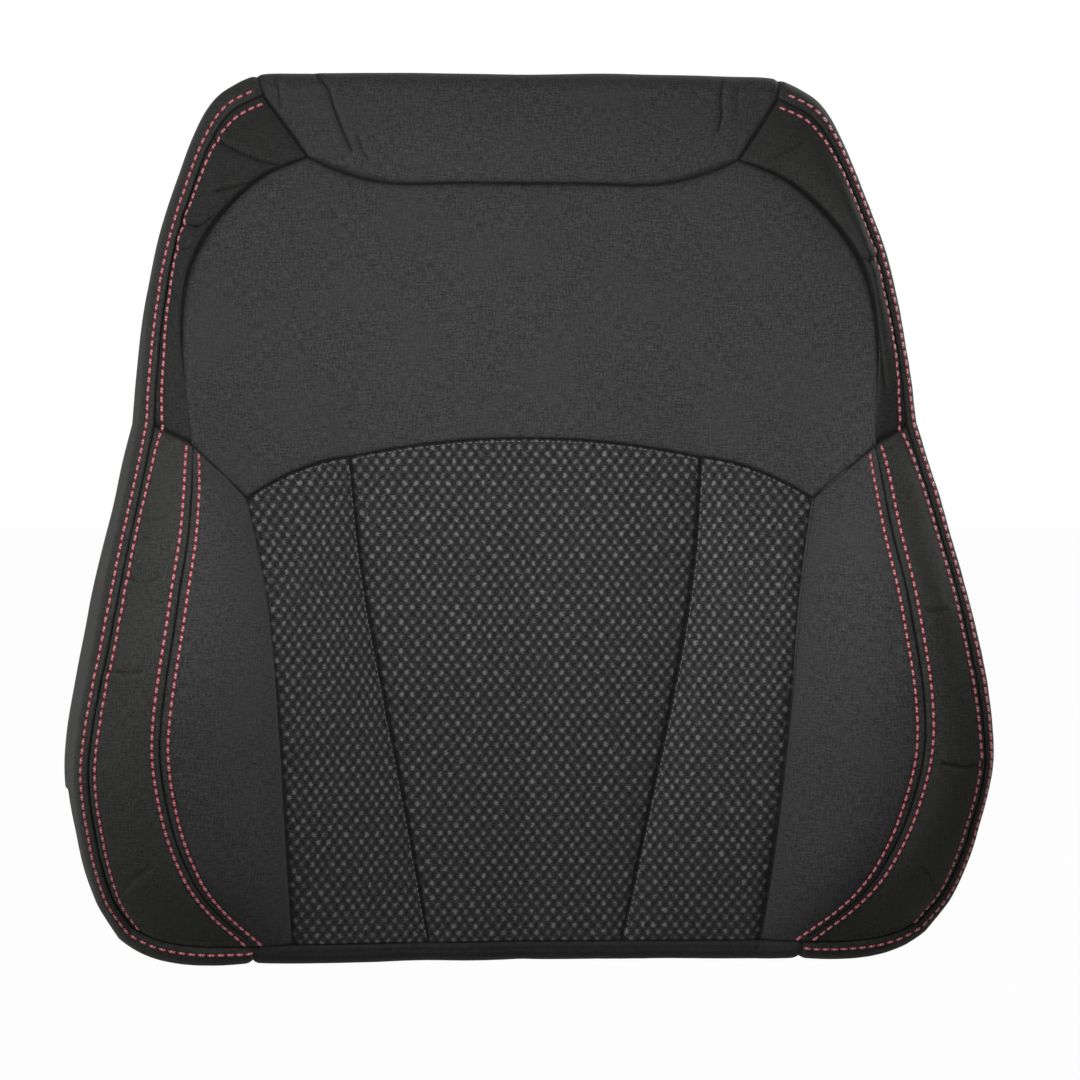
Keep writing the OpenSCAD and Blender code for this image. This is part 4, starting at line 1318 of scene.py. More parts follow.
class CoverGrids:
    """All face grids of the right half, with shared normals."""

    def __init__(self, shape: CoverShape) -> None:
        """Works out every panel, the edge ring and the normals.

        Args:
            shape: the cover's shape.
        """
        self.shape = shape
        lines = Stage(shape)
        low, shares = lines.low_band()
        yoke, shoulder, u, wing_u = lines.high_band(low, shares)
        top = shape.top(u, wing_u[-1])
        top[0] = yoke[-1]
        top[:, -1] = shoulder[-1]
        names = ("mesh_centre", "mesh_side", "bolster", "wing", "yoke", "shoulder", "top")
        self.flat = dict(zip(names, [*low, yoke, shoulder, top]))
        self.face = {name: shape.laid(grid, 0) for name, grid in self.flat.items()}
        self.back = {name: shape.laid(grid, 1) for name, grid in self.flat.items()}
        foot = beside(low)[0]
        self.half = np.concatenate([foot, low[3][1:, -1], shoulder[1:, -1], top[-1, ::-1][1:]])
        self.foot_at = len(foot) - low[3].shape[1]
        self.corner_at = len(foot) + len(low[3]) + len(shoulder) - 3
        self.out = self._directions(lines.ring_window)
        self.sections = np.concatenate([np.linspace(0, 3, 26), np.linspace(3, 6, 27)[1:]])
        self.face["edge"] = self.edge(0, self.sections)
        self.back["edge"] = self.edge(1, self.sections)
        normals = welded_normals(list(self.face.values()), [name == "edge" for name in self.face])
        self.normal = dict(zip(self.face, normals))

    def _directions(self, window: float) -> Array:
        """Outward directions of the outer seam in its own plane.

        The seam is walked round both halves, and the direction at a point is
        square to the chord between the points one window before and after it.

        Args:
            window: the window's length, in millimetres.

        Returns:
            One unit direction for each place of the half ring.
        """
        plane = self.half[:, :2]
        mirrored = plane[::-1] * [-1, 1]
        ring = np.concatenate([mirrored[:-1], plane, mirrored[1:]])
        walked = np.concatenate([[0], np.cumsum(np.linalg.norm(np.diff(ring, axis=0), axis=1))])
        at = walked[len(plane) - 1 :][: len(plane)]
        ends = [
            np.stack([np.interp(at + step, walked, ring[:, k]) for k in range(2)], 1)
            for step in (window, -window)
        ]
        chord = ends[0] - ends[1]
        out = np.stack([chord[:, 1], -chord[:, 0]], 1)
        return out / np.linalg.norm(out, axis=1, keepdims=True)

    def edge(self, level: float, w: Array) -> Array:
        """Points of the rounded edge, which runs back from the outer seam.

        Up to w = 3 a section is a quarter ellipse from the seam to the outline,
        and after it the edge runs back and tucks in towards the rear panel.

        Args:
            level: 0 for the face and 1 for the back of the cloth.
            w: places along the section, from 0 to 6.

        Returns:
            A grid of sections by ring places.
        """
        s, out = self.shape, self.out
        roll = np.where(out[:, 1] > 0, s.roll_top, s.roll_foot)
        inset = s.seam_in * out[:, 0] ** 2 + roll * out[:, 1] ** 2
        front = s.laid(self.half, 0)[:, 1][None]
        turn = np.clip(w, 0, 3)[:, None] * math.pi / 6
        tuck = through(w, [(3, 0), (3.6, 0.04), (4, 0.15), (5, 0.5), (6, 1)])[:, None]
        share = np.where(w[:, None] <= 3, 1 - np.sin(turn), tuck)
        shift = inset[None] * (1 - share) - level * s.cover_t * np.sin(turn)
        near = front + s.roll_depth * (1 - np.cos(turn))
        level_y = [front * 0 + s.rear_y - 10, front * 0 + s.rear_y]
        far = np.concatenate([front + s.roll_depth, (front + s.rear_y) / 2 + 4, *level_y])
        i = np.clip(np.floor(w - 3), 0, 2).astype(int)
        y = np.where(w[:, None] <= 3, near, lerp(far[i], far[i + 1], (w - 3 - i)[:, None]))
        x, z = (self.half[None, :, k] + out[None, :, k] * shift for k in range(2))
        return np.stack([x, y + level * s.cover_t * np.cos(turn), z], -1)

    def coarse(self, step: int) -> tuple[list[Array], Array]:
        """Thinned flat grids for pieces that follow the cover.

        Args:
            step: how much coarser they are.

        Returns:
            The lower band, the upper band and the top panel, and the kept places of the half ring.
        """
        low = beside([self.flat[n] for n in ("mesh_centre", "mesh_side", "bolster", "wing")])
        high = beside([self.flat["yoke"], self.flat["shoulder"]])
        wide, last = low.shape[1], self.flat["yoke"].shape[1] - 1
        cols = np.concatenate([thinned(last + 1, step), last + thinned(wide - last, step)[1:]])
        rows_low, rows_high = thinned(len(low), step), thinned(len(high), step)
        inner = cols[cols <= last]
        top = self.flat["top"][np.ix_(cols[cols >= last] - last, inner)]
        ring = [cols, wide - 1 + rows_low[1:], wide + len(low) - 2 + rows_high[1:]]
        ring.append(self.corner_at + last - inner[-2::-1])
        return [low[np.ix_(rows_low, cols)], high[np.ix_(rows_high, cols)], top], np.concatenate(ring)


# Sewing and folds ---------------------------------------------------------


@dataclass(frozen=True)
class Sewing:
    """How seams draw the cloth in, as reach and depth in millimetres."""

    pitch: float = 5.6
    row_at: float = 5.0
    plain: Pair = (4.4, 3.6)
    deep: Pair = (7.0, 4.6)
    rolled: Pair = (3.0, 0.9)
    twin: Pair = (1.7, 1.3)
    row_valley: Pair = (1.3, 0.6)
    pillow: Pair = (1.6, 10.0)
    # Reach of the painted shade beside a seam, in millimetres.
    crevice: float = 0.85
    deepest: float = 4.2

    def held(self, height: Array, facing: Array) -> Array:
        """Height kept in front of the cloth's back, which is nearest where the cloth faces sideways.

        Args:
            height: heights along the normals.
            facing: share of each place's normal that points forward.

        Returns:
            The heights, where those below the face follow tanh to the depth that is free.
        """
        room = self.deepest * np.maximum(facing, 0.1)
        return np.where(height < 0, room * np.tanh(height / room), height)

    def shade(self, kind: Seam, off: Array) -> Array:
        """Share of painted shade at a distance from a seam, which is widest for plain seams."""
        reach = self.crevice * (1.3 if kind is Seam.PLAIN else 1)
        return np.exp(-((off / reach) ** 2))

    def draw(self, kind: Seam, off: Array, along: Array) -> Array:
        """Depth below the face at a distance from a seam.

        Seams follow a quarter circle into the seam, and beside plain and deep
        ones the stuffing sinks over a wider strip. A twin seam has a valley
        under each row of stitches that is deepest at the needle holes.

        Args:
            kind: the kind of seam.
            off: distance from the seam.
            along: distance along the seam.

        Returns:
            The depth, 0 or more.
        """
        reach, depth = getattr(self, kind.value)
        groove = depth * (1 - np.sqrt(1 - np.clip(1 - off / reach, 0, 1) ** 2))
        if kind is Seam.TWIN:
            width, low = self.row_valley
            hole = 0.72 + 0.28 * np.cos(math.tau * along / self.pitch)
            return np.maximum(groove, low * hole * np.exp(-(((off - self.row_at) / width) ** 2)))
        if kind is Seam.ROLLED:
            return groove
        low, wide = self.pillow
        return groove + low * np.exp(-off / wide)


@dataclass(frozen=True)
class Fold:
    """A crease in one panel, drawn through places on the front.

    The cloth dips along the crease and bulges beside it, and both fade at the
    crease's ends.
    """

    panel: str
    side: Side
    places: tuple[Pair, ...]
    depth: float
    width: float
    bulge: float
    fade: float

    def height(self, points: Array) -> tuple[Array, Array]:
        """Height and painted shade of the fold over points.

        The dip is minus depth times exp(-distance / width), and the bulge is a
        wide hill that stands mostly on the crease's left.

        Args:
            points: places on the face.

        Returns:
            Heights, and the share of painted shade along the crease at each place.
        """
        line = np.array(self.places)
        step = np.concatenate([[0], np.cumsum(np.linalg.norm(np.diff(line, axis=0), axis=1))])
        at = np.linspace(0, step[-1], 60)
        smooth = np.stack([through(at, np.stack([step, line[:, k]], 1)) for k in range(2)], 1)
        x, z = points[..., 0], points[..., 2]
        away = np.hypot(x[..., None] - smooth[:, 0], z[..., None] - smooth[:, 1])
        nearest = away.argmin(-1)
        off = np.take_along_axis(away, nearest[..., None], -1)[..., 0]
        tangent = np.gradient(smooth, axis=0)[nearest]
        tangent = tangent / np.linalg.norm(tangent, axis=-1, keepdims=True)
        left = tangent[..., 0] * (z - smooth[nearest, 1]) - tangent[..., 1] * (x - smooth[nearest, 0])
        ends = ease(0, self.fade, at[nearest]) * ease(0, self.fade, step[-1] - at[nearest])
        dip = -self.depth * np.exp(-off / self.width)
        reach = 5.5 * self.width
        swell = self.bulge * np.exp(-((off / reach) ** 2)) * (0.6 + 0.4 * np.tanh(left / self.width))
        # Painted shade along the crease, which fades at its ends.
        dark = np.exp(-((off / 0.7) ** 2)) * min(1, self.depth / 3.2) * ends
        return (dip + swell) * ends, dark


L, R = Side.LEFT, Side.RIGHT
FOLDS = [Fold(*row) for row in (
    ("shoulder", L, ((-197, 501), (-184, 491.5), (-176, 486.5), (-166, 482), (-155, 478), (-144, 476.5)),
     3.6, 1.3, 1.6, 4),
    ("shoulder", L, ((-226, 442), (-213, 439), (-205, 441), (-196, 440), (-186, 447)), 4.6, 1.4, 1.8, 4),
    ("shoulder", L, ((-190, 460), (-176, 463), (-164, 466)), 2.6, 1.2, 1.2, 4),
    ("shoulder", L, ((-218, 428), (-208, 426), (-199, 429)), 1.6, 1.6, 0.8, 4),
    ("shoulder", L, ((-214, 402), (-209, 380), (-212, 352)), 1.3, 2.2, 0.5, 10),
    ("shoulder", R, ((183, 420), (196, 423), (206, 421), (217, 424)), 3.6, 1.3, 1.3, 4),
    ("shoulder", R, ((204, 398), (210, 372), (213, 340)), 2.6, 1.5, 1.2, 8),
    ("shoulder", R, ((146, 480), (158, 486), (172, 494)), 2.0, 1.5, 1.0, 5),
    ("top", L, ((-126, 536), (-117.5, 524), (-113.7, 511), (-108.5, 497), (-103, 484)), 3.4, 1.3, 1.6, 5),
    ("top", L, ((-102, 499), (-98, 488), (-92, 478)), 1.6, 1.5, 0.8, 5),
    ("top", L, ((-149, 534), (-147, 523), (-146, 510)), 2.2, 1.9, 1.4, 4),
    ("top", R, ((124, 534), (121.5, 521), (121, 508), (118, 497)), 2.8, 1.5, 1.4, 5),
    ("top", R, ((133, 528), (131, 518), (131, 508)), 1.2, 1.6, 0.8, 4),
    ("wing", R, ((236, 121.5), (250, 119), (266, 121)), 2.6, 1.3, 1.2, 3),
    ("wing", L, ((-235, 178), (-248, 176.5), (-261, 179)), 2.0, 1.4, 0.9, 3),
    ("wing", L, ((-226, 233), (-236, 230), (-246, 232)), 1.6, 1.4, 0.8, 3),
    ("wing", L, ((-221, 268), (-228, 266), (-236, 267)), 1.2, 1.4, 0.6, 3),
    ("wing", R, ((224, 214), (232, 211), (242, 213)), 1.2, 1.4, 0.6, 3),
    ("wing", R, ((230, 60), (238, 52), (244, 41)), 1.6, 1.6, 0.8, 5),
    ("wing", L, ((-228, 62), (-238, 55), (-246, 45)), 1.2, 1.6, 0.6, 5),
)]


class Unevenness:
    """Gentle hills of stuffed cloth, as a sum of sines of place."""

    def __init__(self, seed: int) -> None:
        """Draws the waves' directions, lengths and phases.

        Args:
            seed: seed of the draws.
        """
        rng = np.random.default_rng(seed)
        angle, length = rng.uniform(0, math.pi, 14), rng.uniform(34, 120, 14)
        self.wave, self.phase = self._waves(angle, length), rng.uniform(0, math.tau, 14)
        self.size = 0.09 * (length / 60)
        length, angle = rng.uniform(9, 26, 12), rng.uniform(0, math.pi, 12)
        self.ripple, self.ripple_phase = self._waves(angle, length), rng.uniform(0, math.tau, 12)

    @staticmethod
    def _waves(angle: Array, length: Array) -> Array:
        """Phase that each wave gains for a millimetre of each of the plane's two axes."""
        return np.stack([np.cos(angle), np.sin(angle)], 1) * (math.tau / length)[:, None]

    @staticmethod
    def _plane(points: Array) -> Array:
        """X and Z of points, each with a share of Y."""
        return points[..., [0, 2]] + 0.4 * points[..., 1:2]

    def hills(self, points: Array) -> Array:
        """Slow hills over the front plane."""
        return (np.sin(self._plane(points) @ self.wave.T + self.phase) * self.size).sum(-1)

    def puckers(self, points: Array) -> Array:
        """Quick ripples for the neighbourhood of a seam, from -1 to 1."""
        return np.sin(self._plane(points) @ self.ripple.T + self.ripple_phase).mean(-1) * 2.2


@dataclass(frozen=True)
class StitchStyle:
    """Size and spacing of one kind of stitch, in millimetres."""

    length: float
    width: float
    height: float
    pitch: float
    margin: float
    sink: float = 0.35
    rings: int = 7
    sides: int = 6

    def bead(self) -> tuple[Array, list[Array], Array]:
        """One stitch along X: an arched thread whose ends dive into the cloth.

        Radius follows the square root of 1 - s^4, and the centre line follows
        height times 1 - s^2, less the sink, for s from -1 to 1.

        Returns:
            Its points, its walls and its end caps, and its cloth coordinates.
        """
        s = np.linspace(-1, 1, self.rings)
        swell = np.sqrt(np.clip(1.04 - s**4, 0.05, 1))
        ring = np.arange(self.sides)
        turn = ring / self.sides * math.tau
        x = np.repeat(s * self.length / 2, self.sides)
        y = (swell[:, None] * np.cos(turn) * self.width / 2).ravel()
        z = (swell[:, None] * np.sin(turn) * self.width * 0.42).ravel()
        z = z + np.repeat(self.height * (1 - s**2) - self.sink * s**4, self.sides)
        a = np.repeat(np.arange(self.rings - 1) * self.sides, self.sides)
        i, j = np.tile(ring, self.rings - 1), np.tile((ring + 1) % self.sides, self.rings - 1)
        walls = np.stack([a + i, a + j, a + self.sides + j, a + self.sides + i], 1)[:, ::-1]
        caps = np.stack([ring, ring[::-1] + (self.rings - 1) * self.sides])
        coords = np.stack([np.repeat((s + 1) / 2, self.sides), np.tile(ring / self.sides, self.rings)], 1)
        return np.stack([x, y, z], 1), [walls, caps], coords / METRE


Path = tuple[Array, Array, Array]


def frames_on(path: Path, style: StitchStyle) -> Path:
    """Even places along a path, with their directions.

    Args:
        path: its points, the surface's normals, and the seam's length at each point.
        style: the stitches, which give the pitch and the margin at both ends.

    Returns:
        Centres, tangents and normals.
    """
    points, normals, places = path
    count = int((places[-1] - 2 * style.margin) / style.pitch)
    at = (np.arange(count) + 0.5) * style.pitch + style.margin
    half = style.pitch * 0.4

    def read(rows: Array, where: Array) -> Array:
        """Reads a path's rows at places."""
        return np.stack([np.interp(where, places, rows[:, k]) for k in range(3)], 1)

    tangent = read(points, at + half) - read(points, at - half)
    tangent /= np.linalg.norm(tangent, axis=1, keepdims=True)
    normal = read(normals, at)
    normal -= (normal * tangent).sum(1, keepdims=True) * tangent
    normal /= np.linalg.norm(normal, axis=1, keepdims=True)
    return read(points, at), tangent, normal


def beside_first(points: Array, base: Array, normals: Array, off: float) -> tuple[Array, Array]:
    """Path that keeps a distance from a grid's first column.

    Args:
        points: face grid after sewing.
        base: face grid before sewing, on which the distance is measured.
        normals: its normals.
        off: the distance.

    Returns:
        Points and normals, one for each row.
    """
    walked = run_length(base, 1)
    i = np.clip((walked < off).sum(1) - 1, 0, base.shape[1] - 2)
    r = np.arange(len(base))
    t = ((off - walked[r, i]) / (walked[r, i + 1] - walked[r, i]))[:, None]
    return lerp(points[r, i], points[r, i + 1], t), lerp(normals[r, i], normals[r, i + 1], t)


# Cover --------------------------------------------------------------------


@dataclass(frozen=True)
class Openings:
    """Openings for the headrest guides and the lock button, in millimetres."""

    guide_x: float = 70
    guide_y: float = 61.7
    cap_reach: float = 8
    cap_radius: float = 12.6
    button_x: Pair = (82.5, 95)
    button_y: Pair = (53.7, 69.7)
    cap_z: Pair = (520, 548)
    socket_radius: float = 12
    socket_z: Pair = (433, 560)

    def caps(self, maker: Maker) -> list[Piece]:
        """Prisms of the guides' long round caps and of the button's box.

        Args:
            maker: what writes the meshes.

        Returns:
            The prisms.
        """
        turn = np.linspace(-math.pi / 2, math.pi / 2, 17)
        end = np.stack([self.cap_reach + self.cap_radius * np.cos(turn), self.cap_radius * np.sin(turn)], 1)
        cap = np.concatenate([end, -end])
        (left, right), (front, rear) = self.button_x, self.button_y
        box = np.array([(left, front), (right, front), (right, rear), (left, rear)])
        outlines = [cap + [-self.guide_x, self.guide_y], cap + [self.guide_x, self.guide_y], box]
        return [maker.prism("opening", outline, 2, *self.cap_z) for outline in outlines]

    def sockets(self, maker: Maker) -> list[Piece]:
        """Round prisms that the sockets stand in.

        Args:
            maker: what writes the meshes.

        Returns:
            The prisms.
        """
        turn = np.linspace(0, math.tau, 33)[:-1]
        ring = self.socket_radius * np.stack([np.cos(turn), np.sin(turn)], 1)
        places = (-self.guide_x, self.guide_x)
        return [maker.prism("socket_hole", ring + [x, self.guide_y], 2, *self.socket_z) for x in places]


@dataclass(frozen=True)
class Pocket:
    """Room for a recliner and its bracket, open to the side and the foot, in millimetres."""

    inboard: float = 184
    front: float = 4
    roof: float = 104
    radius: float = 20
    reach: float = 275
    rear: float = 111
    foot: float = -20

    def tool(self, maker: Maker, side: Side, margin: float) -> Piece:
        """Prism along X whose front top corner is a quarter circle.

        Args:
            maker: what writes the mesh.
            side: the pocket's side.
            margin: how much larger than the room it is.

        Returns:
            The prism.
        """
        front, roof = self.front - margin, self.roof + margin
        turn = np.linspace(math.pi, math.pi / 2, 13)
        y = front + self.radius + self.radius * np.cos(turn)
        z = roof - self.radius + self.radius * np.sin(turn)
        rear = [(front + self.rear, roof), (front + self.rear, self.foot)]
        outline = np.concatenate([[(front, self.foot)], np.stack([y, z], 1), rear])
        near = self.inboard - margin
        return maker.prism(
            "pocket", outline, 0, *sorted((side.value * near, side.value * (near + self.reach)))
        )


class Cover:
    """The sewn cover: front panels, edges and their stitching."""

    EDGES: dict[str, tuple[Seam, Seam, Seam, Seam]] = {
        "mesh_centre": (Seam.NONE, Seam.PLAIN, Seam.ROLLED, Seam.PLAIN),
        "mesh_side": (Seam.PLAIN, Seam.DEEP, Seam.ROLLED, Seam.PLAIN),
        "bolster": (Seam.DEEP, Seam.TWIN, Seam.ROLLED, Seam.PLAIN),
        "wing": (Seam.TWIN, Seam.TWIN, Seam.TWIN, Seam.PLAIN),
        "yoke": (Seam.NONE, Seam.PLAIN, Seam.PLAIN, Seam.PLAIN),
        "shoulder": (Seam.PLAIN, Seam.TWIN, Seam.PLAIN, Seam.PLAIN),
        "top": (Seam.NONE, Seam.PLAIN, Seam.PLAIN, Seam.NONE),
    }
    INNER = {"mesh_side": "mesh_centre", "bolster": "mesh_side", "wing": "bolster", "shoulder": "yoke"}
    loose_reach = 11
    pucker = 0.34
    fill = 0.7

    def __init__(self, maker: Maker, materials: Materials) -> None:
        """Works out the grids and both sides' faces.

        Args:
            maker: what writes the meshes.
            materials: the finishes' materials.
        """
        self.maker, self.materials = maker, materials
        self.shape, self.sewing = CoverShape(), Sewing()
        self.grids = CoverGrids(self.shape)
        self.moved: dict[tuple[str, Side], Array] = {}
        # Painted shade of each grid's seams and folds, by grid and side.
        self.crevice: dict[tuple[str, Side], Array] = {}
        self.middle, self.noise = Unevenness(3), {L: Unevenness(7), R: Unevenness(19)}
        for side in Side:
            for name in self.EDGES:
                self._sew_panel(name, side)
            self._sew_edge(side)

    def _mix(self, side: Side, kind: Callable[[Unevenness, Array], Array], points: Array) -> Array:
        """Unevenness of one side, which is the same for both sides near the centre line."""
        share = ease(4, 60, np.abs(points[..., 0]))
        return lerp(kind(self.middle, points), kind(self.noise[side], points), share)

    def _sew_panel(self, name: str, side: Side) -> None:
        """Draws one front panel in by its seams, where a distance is square to its seam.

        Args:
            name: the panel.
            side: its side.
        """
        face, normal = self.grids.face[name], self.grids.normal[name]
        across, up = run_length(face, 1), run_length(face, 0)
        foot, head = self._lean(face[0], face[1])[None], self._lean(face[-1], face[-2])[None]
        offs = (across, across[:, -1:] - across, up * foot, (up[-1:] - up) * head)
        alongs = (up[:, :1], up[:, -1:], across[:1], across[-1:])
        sewn = [row for row in zip(self.EDGES[name], offs, alongs) if row[0] is not Seam.NONE]
        depth = np.maximum.reduce([self.sewing.draw(*row) for row in sewn])
        nearest = np.minimum.reduce([off for _, off, _ in sewn])
        crevice = np.maximum.reduce([self.sewing.shade(kind, off) for kind, off, _ in sewn])
        free = ease(0.2, 3.0, nearest)
        self._move(name, side, depth, self._loose(nearest), crevice, (free, 1), np.abs(normal[..., 1]))

    def _sew_edge(self, side: Side) -> None:
        """Draws the rounded edge in by the outer seam and the joints between its panels.

        Args:
            side: the edge's side.
        """
        face, normal = self.grids.face["edge"], self.grids.normal["edge"]
        back, along = run_length(face, 0), run_length(face, 1)
        foot, corner = self.grids.foot_at, self.grids.corner_at
        over_top = ease(0, 10, along[:1] - along[:1, corner : corner + 1])
        depth = self.sewing.draw(Seam.TWIN, back, along[:1]) * (1 - over_top)
        crevice = self.sewing.shade(Seam.TWIN, back) * (1 - over_top)
        for at in (foot, corner):
            off = np.abs(along - along[:, at : at + 1])
            depth = np.maximum(depth, self.sewing.draw(Seam.PLAIN, off, back))
            crevice = np.maximum(crevice, self.sewing.shade(Seam.TWIN, off))
        fading = over_top * ease(-30, 0, -back)
        facing = lerp(np.abs(normal[..., 1]), 1, ease(0, 1, self.grids.sections)[:, None])
        self._move("edge", side, depth, self._loose(back) * (1 - over_top), crevice, (fading, fading), facing)

    def _loose(self, off: Array) -> Array:
        """How loose the cloth lies at a distance from a seam."""
        return np.exp(-off / self.loose_reach)

    def _move(
        self,
        name: str,
        side: Side,
        depth: Array,
        loose: Array,
        crevice: Array,
        fading: tuple[Array | float, Array | float],
        facing: Array,
    ) -> None:
        """Adds hills, puckers and folds to a grid's seams, and moves it along its normals.

        Args:
            name: the grid, which is drawn on the right.
            side: the side that it is for.
            depth: how far the seams draw it in.
            loose: how loose it lies.
            crevice: painted shade of its seams.
            fading: shares of a fold's height and of its painted shade.
            facing: share of each normal that points forward.
        """
        face, normal = self.grids.face[name], self.grids.normal[name]
        height = self._mix(side, Unevenness.hills, face) - depth
        height = height + self.pucker * loose * self._mix(side, Unevenness.puckers, face)
        for fold in FOLDS:
            if fold.side is side and fold.panel == name.replace("edge", "top"):
                rise, line = fold.height(face * side.flip)
                height = height + rise * fading[0]
                # The fold's crease adds its painted shade.
                crevice = np.maximum(crevice, line * fading[1])
        self.crevice[name, side] = crevice
        self.moved[name, side] = face + normal * self.sewing.held(height, facing)[..., None]

    @staticmethod
    def _lean(line: Array, beside_it: Array) -> Array:
        """Sine of the angle between a seam and each grid line that leaves it.

        Args:
            line: points of the seam.
            beside_it: the next points in.

        Returns:
            The sine at each point.
        """
        along, leaving = np.gradient(line, axis=0), beside_it - line
        size = np.linalg.norm(along, axis=1) * np.linalg.norm(leaving, axis=1)
        return np.linalg.norm(np.cross(along, leaving), axis=1) / np.maximum(size, 1e-9)

    def _cloth(self, name: str) -> Array:
        """Cloth coordinates of a front panel: length along a row from the middle, and height.

        Args:
            name: the panel.

        Returns:
            A grid of coordinates, drawn on the right.
        """
        face = self.grids.face[name]
        across = run_length(face * [1, 1, 0], 1)
        if name in self.INNER:
            across = across + self._cloth(self.INNER[name])[:, -1:, 0]
        return np.stack([across, face[..., 2]], -1)

    def _halves(self, kept: dict[tuple[str, Side], Array], grid: str, cut: Callable[[Array], Array]) -> Array:
        """A grid's two sides as one, after cut has taken the part that is wanted."""
        return whole(*(cut(kept[grid, side]) for side in Side))

    def _panel(self, name: str, grid: str, side: Side | None, step: int) -> Piece:
        """Makes one front panel.

        Args:
            name: name of the object.
            grid: name of its grid.
            side: its side, or None for a panel across both halves.
            step: how many of the grid's rows are taken as one.

        Returns:
            The object.
        """
        back, cloth = self.grids.back[grid], self._cloth(grid)
        if side is None:
            face, crevice = (self._halves(kept, grid, lambda g: g) for kept in (self.moved, self.crevice))
            back, cloth = whole(back, back), whole(cloth, cloth)
        else:
            face, crevice = self.moved[grid, side] * side.flip, self.crevice[grid, side]
            back, cloth = back * side.flip, cloth * side.flip[:2]
        rows = thinned(len(face), step)
        return self.maker.shell(name, face[rows], back[rows], cloth[rows], crevice[rows], side is L)

    def build_front(self) -> None:
        """Makes the front panels, except the top one."""
        panels = (
            ("mesh_centre_cloth", "mesh_centre", "mesh_centre_panel", "mesh", "mesh_cloth", 2),
            ("shoulder_yoke_cloth", "yoke", "shoulder_yoke", "plain", "plain_cloth", 1),
            ("mesh_side_cloth", "mesh_side", "mesh_side_panel", "mesh", "mesh_cloth", 2),
            ("bolster_cloth", "bolster", "bolster_panel", "plain", "plain_cloth", 1),
            ("bolster_wing_cloth", "wing", "bolster_wing", "wing", "wing_cloth", 1),
            # The shoulder wings take the darker shoulder finish, which is painted shade.
            ("shoulder_wing_cloth", "shoulder", "shoulder_wing", "shoulder", "wing_cloth", 1),
        )
        for side, rows in ((None, panels[:2]), (L, panels[2:]), (R, panels[2:])):
            end = f"_{side.label}" if side else ""
            for name, grid, node, finish, slot, step in rows:
                piece = self._panel(name + end, grid, side, step)
                self.maker.finish(piece, self.materials[finish], slot, node + end, self.fill)

    def build_top(self, openings: Openings) -> None:
        """Makes the top panel, which runs over the edge to the rear, and cuts its openings.

        Args:
            openings: what is cut out of it.
        """
        corner = self.grids.corner_at

        def over(grid: Array) -> Array:
            """The part of the edge behind the top panel, from the centre line out."""
            return grid[1:, corner:][:, ::-1]

        face, crevice = (
            np.concatenate([self._halves(kept, "top", lambda g: g), self._halves(kept, "edge", over)])
            for kept in (self.moved, self.crevice)
        )
        inner = np.concatenate([whole(g, g) for g in (self.grids.back["top"], over(self.grids.back["edge"]))])
        up = run_length(face, 0) + self.shape.collar_z
        middle = face.shape[1] // 2
        outwards = (slice(middle, None, -1), slice(middle, None))
        cloth = whole(*(np.stack([run_length(face[:, cols], 1), up[:, cols]], -1) for cols in outwards))
        piece = self.maker.shell("top_panel_cloth", face, inner, cloth, crevice)
        self.maker.cut(piece, *openings.caps(self.maker))
        self.maker.finish(piece, self.materials["plain"], "plain_cloth", "top_panel", self.fill)

    def _strip(self, name: str, face: Array, back: Array, crevice: Array, flipped: bool) -> Piece:
        """Makes a strip of the edge, with cloth coordinates along the ring and back."""
        cloth = np.stack([run_length(face, 1)[:1] + 0 * face[..., 0], run_length(face, 0)], -1)
        return self.maker.shell(name, face, back, cloth, crevice, flipped)

    def build_edges(self, pocket: Pocket) -> None:
        """Makes the side gussets, which the recliner pockets cut, and the bottom flap.

        Args:
            pocket: room for the recliners.
        """
        foot, rear = self.grids.foot_at, self.grids.back["edge"]
        span = slice(foot, self.grids.corner_at + 1)
        for side in Side:
            face, back = self.moved["edge", side][:, span] * side.flip, rear[:, span] * side.flip
            crevice = self.crevice["edge", side][:, span]
            piece = self._strip(f"side_gusset_cloth_{side.label}", face, back, crevice, side is R)
            self.maker.cut(piece, pocket.tool(self.maker, side, 0))
            self.maker.finish(piece, self.materials["wing"], "wing_cloth", f"side_gusset_{side.label}", 0.6)
        rear = rear[:, : foot + 1]
        face, crevice = (
            self._halves(kept, "edge", lambda g: g[:, : foot + 1]) for kept in (self.moved, self.crevice)
        )
        piece = self._strip("bottom_flap_cloth", face, whole(rear, rear), crevice, True)
        self.maker.finish(piece, self.materials["flap"], "flap_cloth", "bottom_flap", 0.5)

    def _row(self, grid: str, side: Side, off: float, turned: Callable[[Array], Array]) -> Path:
        """Path of a row of stitches beside a seam.

        Args:
            grid: the grid that it runs on.
            side: its side.
            off: distance from the seam.
            turned: turns a grid so that its first column is the seam.

        Returns:
            Points, normals and the seam's length at each of them.
        """
        base = turned(self.grids.face[grid])
        found = beside_first(turned(self.moved[grid, side]), base, turned(self.grids.normal[grid]), off)
        return *(rows * side.flip for rows in found), run_length(base[None, :, 0], 1)[0]

